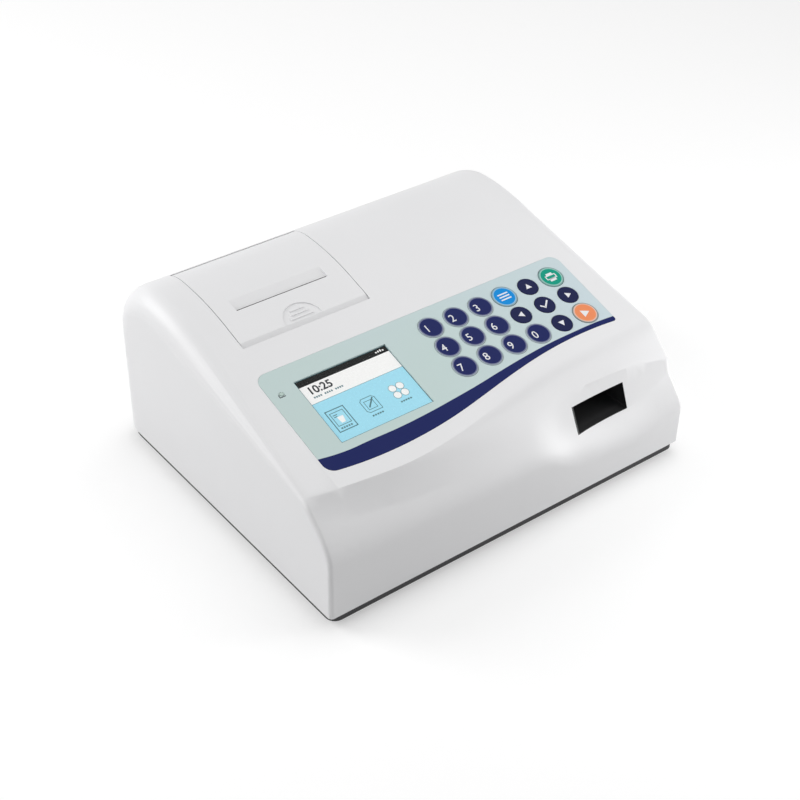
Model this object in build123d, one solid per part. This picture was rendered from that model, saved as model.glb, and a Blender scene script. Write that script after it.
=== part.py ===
"""Desktop urine analyzer: sloping moulded case with a wave front, printed membrane keypad,
colour display, roll-paper printer under a hinged door, and a strip tray on a rack and pinion.

Case frame used below, in millimetres: x from the left wall, y back from the front wall,
z up from the cover's lower edge. Finished pieces are moved to the part's own frame, whose
origin lies on the table under the middle of the case, +Z up, the front facing -Y.
"""
from build123d import *
from math import cos, sin, tan, pi, radians, sqrt, hypot
import os

os.makedirs("parts", exist_ok=True)

# ---------------------------------------------------------------- driving dimensions
# case
case_width = 250.0
case_depth = 210.0
wall = 2.5
slope_angle = 16.25            # of the keypad plane, degrees
slope_base = 57.5              # height at which the keypad plane meets the front wall's plane
crest_radius = 150.0           # from the slope into the crest
rear_radius = 34.0             # from the crest into the back wall
front_corner = 2.5             # rounding of the side edges at the front ...
rear_corner = 14.0             # ... and along the slope, the crest and the back
part_gap = 0.3                 # between curved or moving neighbours
seat_gap = 0.15                # between a curved seat and what is screwed to it

# base, feet and screws
base_floor = 2.5
base_drop = 5.5                # how far the base shows below the cover
base_wall_height = 12.0        # above the cover's lower edge
foot_height = 2.5
foot_radius = 7.0
foot_inset = 24.0
post_radius = 4.5
post_inset = 15.0
post_seat = 3.0                # height where the cover's posts meet the base's bosses
post_height = 26.0             # of the cover's posts above its lower edge
screw_radius = 1.5
screw_head_radius = 2.9
screw_head_height = 2.2
pilot_depth = 9.0

# membrane panel, in the plane of the slope: u across, v up the slope
panel_left = 21.3
panel_right = 231.0
panel_top = 101.2
panel_corner = 6.5
panel_end_corner = 1.6
wave_points = [(67.0, 28.2), (102.0, 31.0), (140.0, 37.9), (178.0, 43.6), (205.0, 44.9)]
wave_left_v = 31.8             # wave height at the panel's left edge
wave_right_v = 43.4            # and at its right edge
sheet_thickness = 0.6
sheet_proud = 0.1              # overlay above the case surface
bed_margin = 4.0               # thickened cover beyond the panel
membrane_clearance = 0.15

# keys
key_first_u = 128.6
key_first_v = 87.4
key_pitch_u = 17.76
key_pitch_v = 15.69
numeral_key_radius = 7.3
colour_key_radius = 7.6
arrow_key_radius = 6.15
key_thickness = 1.25
key_rise = 0.3                 # key face above the overlay
key_travel = 0.3
key_clearance = 0.3
keypad_margin = 8.4            # sheet edge beyond the outer key centres
spacer_thickness = 0.7
circuit_thickness = 0.5

# display
window_left = 38.3
window_bottom = 44.1
window_width = 59.9
window_height = 45.2
window_ledge = 0.3
glass_clearance = 0.2
module_margin = 4.6
module_thickness = 3.2
display_board_margin = 3.0
board_thickness = 1.6
lamp_u = 28.5
lamp_v = 85.4
lamp_radius = 1.2

# printer door
door_left = 27.5
door_width = 83.5
door_front = 116.0
door_rear = 188.5
door_gap = 0.45
door_thickness = 2.5
door_rear_gap = 1.9
lip_depth = 3.2
lip_drop = 1.5
slot_width = 60.0
slot_gap = 2.2
slot_front = 139.9
slot_ramp = 6.4
slot_ramp_depth = 1.7
thumb_radius = 12.0
thumb_depth = 0.5
thumb_ribs = 3
thumb_rib_pitch = 2.8
hinge_y = 185.6
hinge_below = 3.4              # hinge axis under the outer surface
knuckle_radius = 2.3
knuckle_length = 8.0
hinge_pin_radius = 1.2
pin_clearance = 0.05
hinge_seat_radius = 2.0        # bosses of the bay that hold the pins
hinge_seat_relief = 0.15       # door's hollow around those bosses

# paper bay and roll
bay_wall = 2.0
bay_front = 118.0
bay_rear = 191.0
bay_step = 149.5               # where the shelf drops into the roll bucket
bay_shelf = 61.0
bay_floor = 49.0
bay_side_gap = 1.5             # bay's outer side inside the door's opening
bay_flange = 8.0
roll_radius = 17.0
roll_length = 57.0
roll_y = 168.5
roll_z = 68.5
core_radius = 6.0
core_wall = 1.2
spindle_radius = 4.75

# print mechanism
platen_y = 136.0
platen_z = 87.0
platen_radius = 5.0
shaft_radius = 2.0
frame_plate = 1.5
frame_front = 124.0
frame_rear = 148.0
frame_top = 90.0
frame_side_gap = 2.0           # platen end to side plate
head_thickness = 1.7
head_height = 12.0
gear_module = 0.6
platen_teeth = 20
idler_teeth = 26
feed_teeth = 12
gear_width = 3.0
idler_bearing = 250.0          # direction from the platen to the idler, degrees in Y-Z
feed_bearing = -25.0           # direction from the idler to the feed pinion
stud_radius = 1.5
feed_motor_radius = 6.4
feed_motor_length = 25.0
feed_shaft_radius = 1.0

# strip port, tray and drive
port_from_right = 56.0         # port's middle from the right wall
port_x = case_width - port_from_right
port_width = 38.3
port_sill = 34.1
port_height = 14.5
port_corner = 0.8
sleeve_wall = 1.6
sleeve_rear = 38.0
tray_width = 27.0
tray_length = 134.0
tray_thickness = 5.0
tray_lift = 0.7                # tray above the port's sill
tray_front = 40.0
tray_travel = 90.0
strip_width = 5.6
strip_groove = 1.2
rack_module = 1.0
rack_back = 1.0                # solid bar behind the rack's teeth
pinion_teeth = 14
pinion_y = 76.0
pinion_width = 4.0
guide_floor = 2.5
guide_rear = 176.0
guide_side = 15.0              # guide floor beyond the tray
rail_width = 2.6
tray_motor_radius = 11.0
tray_motor_height = 18.0
tray_shaft_radius = 1.5
optics_width = 26.0
optics_front = 100.0
optics_length = 30.0
optics_height = 16.0
optics_gap = 3.0               # optics above the tray
slit_setback = 12.0            # light slit behind the head's front
slit_length = 6.0
slit_width = 16.0
slit_depth = 3.0
tile_setback = 99.0            # white tile behind the tray's front
tile_length = 12.0
tile_depth = 1.0
tile_side = 4.0
bracket_plate = 2.0

# electronics and back
board_left = 18.0
board_front = 24.0
board_to_port = 48.0           # board's right edge to the port's middle
board_width = port_x - board_to_port - board_left
board_depth = 118.0
board_lift = 3.0
screw_seat = -1.2              # where the case screws' heads stop in the bosses
rear_panel_left = 60.0
rear_panel_width = 104.0
rear_panel_bottom = 18.0
rear_panel_height = 30.0
rear_panel_thickness = 2.0
rear_panel_boss = 1.0          # raised middle in the case's opening
rear_panel_margin = 6.0
switch_width = 19.0
switch_height = 13.0
switch_depth = 14.0
switch_flange = 1.2
rocker_radius = 4.9
rocker_tilt = 8.0
jack_bore = 2.85
jack_body = 11.0
jack_depth = 12.0
serial_width = 31.0
serial_height = 12.5
serial_shell = 6.0             # shell beyond the rear panel
vent_slots = 9
vent_pitch = 7.0
vent_length = 34.0
vent_width = 2.4

# Sections of the case front, from the left wall (share 0) to the right wall (share 1).
# Each gives the height where the front wall starts to curve; the ledge and the brow as
# (y, z), with the direction of the surface below and above each; and the y and the
# direction at which the surface meets the keypad plane. Directions are degrees from level.
front_sections = [
    (0.000, 33.0, (13.5, 55.0), 42, 45, (18.2, 59.6), 45, 45, 23.0, 45),
    (0.130, 32.0, (11.0, 50.0), 40, 58, (15.0, 56.4), 58, 58, 19.0, 58),
    (0.250, 31.0, (8.3, 47.0), 44, 60, (12.5, 54.4), 60, 60, 16.8, 58),
    (0.390, 31.0, (6.3, 45.2), 54, 54, (12.5, 53.8), 54, 54, 19.5, 32),
    (0.500, 30.0, (6.0, 44.0), 54, 53, (14.0, 54.6), 50, 48, 24.5, 20),
    (0.585, 29.0, (6.2, 42.0), 54, 54, (16.3, 55.4), 48, 46, 29.0, slope_angle),
    (0.660, 20.0, (7.6, 36.5), 56, 60, (18.5, 56.0), 56, 44, 31.6, slope_angle),
    (0.775, 17.0, (8.8, 32.5), 52, 67, (18.8, 55.8), 66, 38, 33.4, slope_angle),
    (0.870, 15.5, (9.6, 33.8), 50, 67, (18.0, 55.0), 68, 36, 34.8, slope_angle),
    (1.000, 22.0, (12.8, 42.0), 50, 74, (15.5, 51.0), 74, 38, 36.0, slope_angle),
]
corner_steps = (0, 15, 30, 45, 60, 75, 90)  # round the side edges, degrees
across_steps = 36                           # sections between the two side edges

# ---------------------------------------------------------------- derived sizes
slope_tan = tan(radians(slope_angle))
slope_cos = cos(radians(slope_angle))
slope_sin = sin(radians(slope_angle))
crest_y = case_depth - rear_radius
slope_end_y = crest_y - crest_radius * slope_sin


def slope_z(y):
    """Height of the keypad plane."""
    return slope_base + y * slope_tan


crest_z = slope_z(slope_end_y) + crest_radius * (1 - slope_cos)
back_top_z = crest_z - rear_radius
cover_lift = base_drop + foot_height        # cover's lower edge above the table
slope = Plane(origin=(0, 0, slope_base), x_dir=(1, 0, 0), z_dir=(0, -slope_sin, slope_cos))
rear_reach = rear_panel_boss + serial_shell - wall - seat_gap   # socket shell beyond the case
case_place = Pos(-case_width / 2, -(case_depth + rear_reach) / 2, cover_lift)


# ---------------------------------------------------------------- helpers
def block(x0, x1, y0, y1, z0, z1):
    """Box between two corners."""
    return Pos((x0 + x1) / 2, (y0 + y1) / 2, (z0 + z1) / 2) * Box(x1 - x0, y1 - y0, z1 - z0)


def slope_block(u0, u1, v0, v1, w0, w1):
    """Box between two corners given in the keypad plane, w outwards from it."""
    return slope.location * block(u0, u1, v0, v1, w0, w1)


def rod_x(y, z, radius, x0, x1):
    """Round rod along x."""
    turned = Rot(0, 90, 0) * Cylinder(radius, x1 - x0)
    return Pos((x0 + x1) / 2, y, z) * turned


def rod_y(x, z, radius, y0, y1):
    """Round rod along y."""
    turned = Rot(90, 0, 0) * Cylinder(radius, y1 - y0)
    return Pos(x, (y0 + y1) / 2, z) * turned


def rod_z(x, y, radius, z0, z1):
    """Upright round rod."""
    return Pos(x, y, (z0 + z1) / 2) * Cylinder(radius, z1 - z0)


def slope_rod(u, v, radius, w0, w1):
    """Round rod square to the keypad plane."""
    return slope.location * rod_z(u, v, radius, w0, w1)


def side_plate(outline, x0, x1):
    """Extrude a closed Y-Z outline from x0 to x1."""
    return Pos(x0, 0, 0) * extrude(Plane.YZ * outline, amount=x1 - x0)


def polygon(points):
    """Closed face through points in order."""
    return make_face(Polyline(*points, close=True))


def together(pieces):
    """One shape from many."""
    total = pieces[0]
    for piece in pieces[1:]:
        total = total + piece
    return total


def compass(radius, degrees):
    """Offset of a point on a circle."""
    return (radius * cos(radians(degrees)), radius * sin(radians(degrees)))


# ---------------------------------------------------------------- case form
def moved_in(point, below, above, distance):
    """Move a profile point into the case, keeping clear of both neighbouring directions."""
    n1 = (sin(radians(below)), -cos(radians(below)))
    n2 = (sin(radians(above)), -cos(radians(above)))
    reach = distance / (1 + n1[0] * n2[0] + n1[1] * n2[1])
    return (point[0] + reach * (n1[0] + n2[0]), point[1] + reach * (n1[1] + n2[1]))


def blend_curve(start, end, leaving, arriving):
    """Cubic from start to end, each (x, y, z), with its directions in the Y-Z plane."""
    chord = sqrt(sum((a - b) ** 2 for a, b in zip(start, end)))
    handle = chord / (3 * cos(radians((leaving - arriving) / 4)) ** 2)
    out_y, out_z = compass(handle, leaving)
    in_y, in_z = compass(handle, arriving)
    third = (end[0] - start[0]) / 3
    return Bezier(
        start,
        (start[0] + third, start[1] + out_y, start[2] + out_z),
        (end[0] - third, end[1] - in_y, end[2] - in_z),
        end,
    )


def combined(rule, *sections):
    """Apply a rule to matching numbers of several sections."""
    if isinstance(sections[0], tuple):
        return tuple(combined(rule, *parts) for parts in zip(*sections))
    return rule(*sections)


def trend(before, here, after):
    """Rate of change of a section's numbers along the case's width."""
    if before is None or after is None:
        low, high = (here, after) if before is None else (before, here)
        return combined(lambda a, b: (b - a) / (high[0] - low[0]), low, high)
    back, ahead = here[0] - before[0], after[0] - here[0]
    return combined(lambda a, b, c: ((b - a) / back * ahead + (c - b) / ahead * back)
                    / (back + ahead), before, here, after)


def section_at(share):
    """Smooth section anywhere across the case, through the given front sections."""
    given = front_sections
    last = len(given) - 2
    i = min(last, sum(1 for section in given[1:-1] if share >= section[0]))
    start, end = given[i], given[i + 1]
    leaving = trend(given[i - 1] if i > 0 else None, start, end)
    arriving = trend(start, end, given[i + 2] if i < last else None)
    span = end[0] - start[0]
    t = (share - start[0]) / span
    h0, h1 = 2 * t ** 3 - 3 * t ** 2 + 1, (t ** 3 - 2 * t ** 2 + t) * span
    h2, h3 = 3 * t ** 2 - 2 * t ** 3, (t ** 3 - t ** 2) * span
    return combined(lambda a, m, b, n: h0 * a + h1 * m + h2 * b + h3 * n,
                    start, leaving, end, arriving)


def case_section(section, inset, foot, corner_angle, from_right=False):
    """Closed wire round the case at one front section, moved in by inset.

    corner_angle runs from 0 at the side wall to 90 where the side rounding ends.
    """
    share, curve_z, ledge, ledge_in, ledge_out, brow, brow_in, brow_out, rim_y, rim_in = section
    corners = [
        ((0, foot), 90, 90, front_corner),
        ((0, curve_z), 90, 90, front_corner),
        (ledge, ledge_in, ledge_out, front_corner),
        (brow, brow_in, brow_out, front_corner),
        ((rim_y, slope_z(rim_y)), rim_in, slope_angle, front_corner),
        ((slope_end_y, slope_z(slope_end_y)), slope_angle, slope_angle, rear_corner),
        ((crest_y, crest_z), 0, 0, rear_corner),
        ((case_depth, back_top_z), -90, -90, rear_corner),
        ((case_depth, foot), -90, -90, rear_corner),
    ]
    points = []
    for point, below, above, full_radius in corners:
        radius = max(full_radius - inset, part_gap)
        if corner_angle is None:
            x, sink = share * case_width, 0
        else:
            away = radius * (1 - cos(radians(corner_angle)))
            sink = radius * (1 - sin(radians(corner_angle)))
            x = case_width - inset - away if from_right else inset + away
        y, z = moved_in(point, below, above, inset + sink)
        points.append((x, y, foot if point[1] == foot else z))
    return Wire([
        Line(points[0], points[1]),
        blend_curve(points[1], points[2], 90, ledge_in),
        blend_curve(points[2], points[3], ledge_out, brow_in),
        blend_curve(points[3], points[4], brow_out, rim_in),
        Line(points[4], points[5]),
        blend_curve(points[5], points[6], slope_angle, 0),
        blend_curve(points[6], points[7], 0, -90),
        Line(points[7], points[8]),
        Line(points[8], points[0]),
    ])


def case_form(inset=0.0, foot=0.0):
    """Solid bounded by the case surface, moved in by inset and standing on z = foot."""
    left, right = section_at(0.0), section_at(1.0)
    flat = rear_corner / case_width
    wires = [case_section(left, inset, foot, angle) for angle in corner_steps]
    for i in range(1, across_steps):
        share = flat + (1 - 2 * flat) * i / across_steps
        wires.append(case_section(section_at(share), inset, foot, None))
    for angle in reversed(corner_steps):
        wires.append(case_section(right, inset, foot, angle, from_right=True))
    return Solid.make_loft(wires, ruled=True)


def roof(inset, y0, y1, low=0.0):
    """Y-Z face under the slope, crest and rear surfaces, moved in by inset, from y0 to y1."""
    start = (-20.0, slope_z(-20.0) - inset / slope_cos)
    meet = moved_in((slope_end_y, slope_z(slope_end_y)), slope_angle, slope_angle, inset)
    crest = (crest_y, crest_z - inset)
    back = (case_depth - inset, back_top_z)
    edges = [
        Line(start, meet),
        Bezier(meet, *bezier_handles(meet, crest, slope_angle, 0), crest),
        Bezier(crest, *bezier_handles(crest, back, 0, -90), back),
        Polyline(back, (back[0], low), (start[0], low), start),
    ]
    face = make_face(edges)
    window = Pos((y0 + y1) / 2, case_depth / 2) * Rectangle(y1 - y0, 3 * case_depth)
    return face & window


def bezier_handles(start, end, leaving, arriving):
    """Inner control points of a cubic with given end directions in its plane."""
    chord = hypot(end[0] - start[0], end[1] - start[1])
    handle = chord / (3 * cos(radians((leaving - arriving) / 4)) ** 2)
    out = compass(handle, leaving)
    into = compass(handle, arriving)
    return (start[0] + out[0], start[1] + out[1]), (end[0] - into[0], end[1] - into[1])


def surface_z(y):
    """Height of the outer surface on the slope or the crest's arcs."""
    if y < slope_end_y:
        return slope_z(y)
    if y < crest_y:
        return crest_z - crest_radius + sqrt(crest_radius ** 2 - (crest_y - y) ** 2)
    return back_top_z + sqrt(rear_radius ** 2 - (y - crest_y) ** 2)


def roof_band(outer, inner, y0, y1):
    """Y-Z face between two insets of the roof."""
    return roof(outer, y0, y1) - roof(inner, y0 - 1, y1 + 1, low=-10.0)


# ---------------------------------------------------------------- membrane panel
def panel_outline(grow=0.0):
    """Face of the printed panel in the plane of the slope, with its wave along the bottom."""
    left, right, top = panel_left - grow, panel_right + grow, panel_top + grow
    wave = [(left, wave_left_v - grow)]
    wave += [(u, v - grow) for u, v in wave_points]
    wave += [(right, wave_right_v - grow)]
    edges = [
        Spline(*wave),
        Line(wave[-1], (right, top)),
        Line((right, top), (left, top)),
        Line((left, top), wave[0]),
    ]
    face = make_face(edges)
    upper = [v for v in face.vertices() if v.Y > top - 1]
    lower_left = [v for v in face.vertices() if v.Y < top - 1 and v.X < left + 1]
    lower_right = [v for v in face.vertices() if v.Y < top - 1 and v.X > right - 1]
    face = fillet(upper + lower_left, panel_corner + grow)
    lower_right = [v for v in face.vertices() if v.Y < wave_right_v + 1 and v.X > right - 1]
    return fillet(lower_right, panel_end_corner + grow)


def key_table():
    """Name, place in the panel and radius of every key, row by row from the top left."""
    rows = [
        ["key_1", "key_2", "key_3", "menu_key", "up_key", "print_key"],
        ["key_4", "key_5", "key_6", "left_key", "ok_key", "right_key"],
        ["key_7", "key_8", "key_9", "key_0", "down_key", "start_key"],
    ]
    coloured = ("menu_key", "print_key", "start_key")
    table = []
    for row, names in enumerate(rows):
        for column, name in enumerate(names):
            u = key_first_u + column * key_pitch_u
            v = key_first_v - row * key_pitch_v
            if name in coloured:
                radius = colour_key_radius
            elif name[-1].isdigit():
                radius = numeral_key_radius
            else:
                radius = arrow_key_radius
            table.append((name, u, v, radius))
    return table


keys = key_table()
overlay_top = sheet_proud
overlay_bottom = sheet_proud - sheet_thickness
spacer_bottom = overlay_bottom - spacer_thickness
circuit_bottom = spacer_bottom - circuit_thickness
sheet_left = key_first_u - keypad_margin
sheet_right = key_first_u + 5 * key_pitch_u + keypad_margin
sheet_top = key_first_v + keypad_margin
sheet_bottom = key_first_v - 2 * key_pitch_v - keypad_margin
window_right = window_left + window_width
window_top = window_bottom + window_height
pad_inner = circuit_bottom - wall       # underside of the cover below the panel


def key_holes(bottom, top):
    """Clearance holes round all keys."""
    return together([slope_rod(u, v, radius + key_clearance, bottom, top)
                     for _, u, v, radius in keys])


def make_overlay():
    sheet = slope.location * Pos(0, 0, overlay_bottom) * extrude(panel_outline(), sheet_thickness)
    window = slope_block(window_left, window_right, window_bottom, window_top, -2, 2)
    lamp = slope_rod(lamp_u, lamp_v, lamp_radius + key_clearance, -2, 2)
    return sheet - key_holes(-2, 2) - window - lamp


def make_spacer():
    sheet = slope_block(sheet_left, sheet_right, sheet_bottom, sheet_top,
                        spacer_bottom, overlay_bottom)
    return sheet - key_holes(-3, 1)


def make_circuit():
    """Printed contact sheet with its connector tail."""
    sheet = slope_block(sheet_left, sheet_right, sheet_bottom, sheet_top,
                        circuit_bottom, spacer_bottom)
    middle = (sheet_left + sheet_right) / 2
    tail = slope_block(middle - 8, middle + 8, sheet_top - 4, sheet_top - 3,
                       pad_inner - 12, circuit_bottom)
    return sheet + tail


def make_key(u, v, radius):
    """Domed key pad that rides in the overlay and the spacer."""
    top = overlay_top + key_rise
    pad = slope_rod(u, v, radius, top - key_thickness, top)
    rim = pad.edges().filter_by(GeomType.CIRCLE).sort_by(SortBy.DISTANCE)
    high = [e for e in rim if slope.to_local_coords(e.center()).Z > top - 0.1]
    return fillet(high, key_rise * 0.9)


def make_display_window():
    slack = 0.05
    return slope_block(window_left + slack, window_right - slack, window_bottom + slack,
                       window_top - slack, overlay_bottom, overlay_top)


def make_display_module():
    """Liquid crystal cell standing up in the cover's opening, in its frame with folded tabs."""
    edge = window_ledge + glass_clearance
    cell = slope_block(window_left + edge, window_right - edge, window_bottom + edge,
                       window_top - edge, pad_inner - 0.5, overlay_bottom)
    m = module_margin
    body = slope_block(window_left - m, window_right + m, window_bottom - m, window_top + m,
                       pad_inner - module_thickness, pad_inner)
    tabs = []
    for u in (window_left + 10, window_right - 10):
        for v in (window_bottom - m - 0.8, window_top + m):
            tabs.append(slope_block(u - 3, u + 3, v, v + 0.8,
                                    pad_inner - module_thickness, pad_inner - 0.6))
    return together([body, cell] + tabs)


def make_display_board():
    m = module_margin + display_board_margin
    top = pad_inner - module_thickness
    board = slope_block(window_left - m, window_right + m, window_bottom - m, window_top + m,
                        top - board_thickness, top)
    socket = slope_block(window_left + 12, window_left + 34, window_top - 8, window_top - 2,
                         top - board_thickness - 4, top - board_thickness)
    return board + socket


def make_status_lamp():
    lens = slope_rod(lamp_u, lamp_v, lamp_radius, pad_inner - 3, overlay_top + 0.1)
    collar = slope_rod(lamp_u, lamp_v, lamp_radius * 1.8, pad_inner - 3, pad_inner)
    return lens + collar


# ---------------------------------------------------------------- top cover
post_places = [(post_inset, post_inset), (case_width - post_inset, post_inset),
               (post_inset, case_depth - post_inset),
               (case_width - post_inset, case_depth - post_inset)]
port_left = port_x - port_width / 2
port_right = port_x + port_width / 2
port_top = port_sill + port_height
panel_rear_right = rear_panel_left + rear_panel_width
panel_rear_top = rear_panel_bottom + rear_panel_height


def port_prism(grow, y0, y1):
    """Rounded rectangle of the strip port, run along y."""
    outline = RectangleRounded(port_width + 2 * grow, port_height + 2 * grow, port_corner + grow)
    middle = (port_sill + port_top) / 2
    # Plane.XZ looks towards the front, so its prism runs to -y
    return Pos(port_x, y1, middle) * extrude(Plane.XZ * outline, amount=y1 - y0)


def make_top_cover():
    cover = case_form() - case_form(wall, -5.0)
    # thicker bed under the panel, and the screw posts with ribs to the side walls
    cover += slope.location * Pos(0, 0, pad_inner) * extrude(
        panel_outline(bed_margin), -pad_inner - wall / 2)
    for x, y in post_places:
        wall_x = wall / 2 if x < case_width / 2 else case_width - wall / 2
        rib = block(min(x, wall_x), max(x, wall_x), y - 1.25, y + 1.25,
                    base_wall_height + part_gap, post_height)
        cover += rod_z(x, y, post_radius, post_seat, post_height) + rib
    # seats of the overlay, the keypad sheets and the display
    cover -= slope.location * Pos(0, 0, overlay_bottom) * extrude(
        panel_outline(membrane_clearance), 5.0)
    m = membrane_clearance
    cover -= slope_block(sheet_left - m, sheet_right + m, sheet_bottom - m, sheet_top + m,
                         circuit_bottom, 5.0)
    ledge = window_ledge
    cover -= slope_block(window_left + ledge, window_right - ledge, window_bottom + ledge,
                         window_top - ledge, pad_inner - 5, 5.0)
    cover -= slope_rod(lamp_u, lamp_v, lamp_radius + key_clearance, pad_inner - 5, 5)
    middle = (sheet_left + sheet_right) / 2
    cover -= slope_block(middle - 9, middle + 9, sheet_top - 5, sheet_top - 2, pad_inner - 1, -1)
    # openings for the door, the strips and the sockets
    cover -= block(door_left, door_left + door_width, door_front, door_rear + door_rear_gap,
                   crest_z - rear_radius, crest_z + 20)
    cover -= port_prism(0.0, -10.0, sleeve_rear - 8)
    cover -= block(rear_panel_left, panel_rear_right, case_depth - 10, case_depth + 10,
                   rear_panel_bottom, panel_rear_top)
    # screw pilots
    for x, y in post_places:
        cover -= rod_z(x, y, screw_radius, post_seat - 1, post_seat + pilot_depth)
    for x, z in rear_screw_places():
        cover -= rod_y(x, z, screw_radius, case_depth - 10, case_depth + 5)
    return cover


# ---------------------------------------------------------------- base
def guide_post_places():
    left = tray_left - guide_side + 6
    right = tray_left + tray_width + guide_side - 6
    return [(x, y) for x in (left, right) for y in (sleeve_rear + 8, guide_rear - 8)]


def board_post_places():
    return [(x, y) for x in (board_left + 5, board_left + board_width - 5)
            for y in (board_front + 5, board_front + board_depth - 5)]


def make_base_tray():
    inset = wall + part_gap
    outline = Rectangle(case_width - 2 * inset, case_depth - 2 * inset)
    outline = Pos(case_width / 2, case_depth / 2) * outline
    rear = [v for v in outline.vertices() if v.Y > case_depth / 2]
    face = fillet(rear, rear_corner - inset + 1.5)
    front = [v for v in face.vertices() if v.Y < case_depth / 2]
    front = [v for v in front if abs(v.Y - inset) < 0.1]
    face = fillet(front, front_corner)
    block_body = Pos(0, 0, -base_drop) * extrude(face, base_drop + base_wall_height)
    lowest = block_body.edges().group_by(Axis.Z)[0]
    block_body = chamfer(lowest, 1.0)
    hollow = Pos(0, 0, base_floor - base_drop) * extrude(offset(face, -2.0), 60)
    tray = block_body - hollow
    floor_z = base_floor - base_drop
    bosses = [rod_z(x, y, post_radius, floor_z - 0.5, post_seat) for x, y in post_places]
    bosses += [rod_z(x, y, 3.5, floor_z - 0.5, guide_bottom) for x, y in guide_post_places()]
    bosses += [rod_z(x, y, 3.0, floor_z - 0.5, board_lift) for x, y in board_post_places()]
    tray = together([tray] + bosses)
    for x, y in post_places:
        tray -= rod_z(x, y, screw_radius + 0.2, -base_drop - 1, post_seat + 1)
        tray -= rod_z(x, y, screw_head_radius + 0.3, -base_drop - 1, screw_seat)
    start = case_width / 2 - (vent_slots - 1) * vent_pitch / 2
    for i in range(vent_slots):
        x = start + i * vent_pitch
        tray -= block(x - vent_width / 2, x + vent_width / 2, board_front + board_depth + 8,
                      board_front + board_depth + 8 + vent_length, -base_drop - 1, floor_z + 1)
    return tray



def make_case_screws():
    pieces = []
    for x, y in post_places:
        shank = rod_z(x, y, screw_radius, screw_seat - 0.5, post_seat + pilot_depth - 1)
        head = rod_z(x, y, screw_head_radius, screw_seat - screw_head_height, screw_seat)
        pieces.append(shank + head)
    return together(pieces)


def make_feet():
    feet = []
    for x in (foot_inset, case_width - foot_inset):
        for y in (foot_inset, case_depth - foot_inset):
            foot = rod_z(x, y, foot_radius, -base_drop - foot_height, -base_drop)
            rim = foot.edges().group_by(Axis.Z)[0]
            feet.append(chamfer(rim, 0.6))
    return together(feet)


# ---------------------------------------------------------------- printer door and bay
door_right = door_left + door_width
door_middle = (door_left + door_right) / 2
hinge_z = surface_z(hinge_y) - hinge_below
bay_left = door_left + bay_side_gap
bay_right = door_right - bay_side_gap


def knuckle_spans():
    """x range of the door's two hinge knuckles, next to the bay's side walls."""
    gap = part_gap
    left = bay_left + bay_wall + gap
    right = bay_right - bay_wall - gap
    return [(left, left + knuckle_length), (right - knuckle_length, right)]


def make_printer_door():
    x0, x1 = door_left + door_gap, door_right - door_gap
    front = door_front + door_gap
    door = side_plate(roof_band(0.0, door_thickness, front, door_rear), x0, x1)
    # sloping front lip
    lip = polygon([(front - 1, surface_z(front) - lip_drop), (front - 1, surface_z(front) + 5),
                   (front + lip_depth, surface_z(front + lip_depth) + 5),
                   (front + lip_depth, surface_z(front + lip_depth)),
                   (front, surface_z(front) - lip_drop)])
    door -= side_plate(lip, x0 - 1, x1 + 1)
    # paper slot with a ramp behind it
    slot0, slot1 = door_middle - slot_width / 2, door_middle + slot_width / 2
    slot_rear = slot_front + slot_gap
    door -= block(slot0, slot1, slot_front, slot_rear, slope_z(slot_front) - 12, crest_z + 5)
    ramp = polygon([(slot_rear - 0.01, surface_z(slot_rear) - slot_ramp_depth),
                    (slot_rear + slot_ramp, surface_z(slot_rear + slot_ramp)),
                    (slot_rear + slot_ramp, surface_z(slot_rear + slot_ramp) + 4),
                    (slot_rear - 0.01, surface_z(slot_rear) + 4)])
    door -= side_plate(ramp, slot0, slot1)
    # half-moon thumb recess with ribs
    v0 = (front + lip_depth) / slope_cos
    moon = slope_rod(door_middle, v0, thumb_radius, -thumb_depth, 3)
    moon &= slope_block(door_left, door_right, v0 - 0.2, v0 + 2 * thumb_radius, -3, 4)
    for i in range(thumb_ribs):
        half = thumb_radius * (0.62 - 0.13 * i)
        v = v0 + 1.9 + i * thumb_rib_pitch
        moon -= slope_block(door_middle - half, door_middle + half, v, v + 1.0, -3, 0)
    door -= moon
    # stiffening ribs under the skin, clear of the bay's walls
    skirt = roof_band(door_thickness - 0.3, door_thickness + 2.0, front + 8, slot_front - 4)
    for x in (slot0 - 2, slot1 + 0.5):
        door += side_plate(skirt, x, x + 1.5)
    # hinge knuckles
    for left, right in knuckle_spans():
        knuckle = rod_x(hinge_y, hinge_z, knuckle_radius, left, right)
        web = block(left, right, hinge_y - 1.6, hinge_y + 1.6, hinge_z,
                    hinge_z + hinge_below - door_thickness + 0.6)
        door += knuckle + web
        door -= rod_x(hinge_y, hinge_z, hinge_pin_radius + pin_clearance, left - 1, right + 1)
    # hollows over the bay's hinge bosses
    for left, right in ((x0 - 1, bay_left + bay_wall + part_gap),
                        (bay_right - bay_wall - part_gap, x1 + 1)):
        door -= rod_x(hinge_y, hinge_z, hinge_seat_radius + hinge_seat_relief, left, right)
    # latch tongue behind the front edge
    tongue_z = slope_z(bay_front + bay_wall + 2) - door_thickness
    door += block(door_middle - 6, door_middle + 6, bay_front + bay_wall + 1.2,
                  bay_front + bay_wall + 2.6, tongue_z - 5.0, tongue_z + 0.6)
    return door


def make_hinge_pins():
    pins = []
    for left, right in knuckle_spans():
        if left < door_middle:
            pins.append(rod_x(hinge_y, hinge_z, hinge_pin_radius, bay_left + 0.2, right - 1))
        else:
            pins.append(rod_x(hinge_y, hinge_z, hinge_pin_radius, left + 1, bay_right - 0.2))
    return together(pins)


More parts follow.
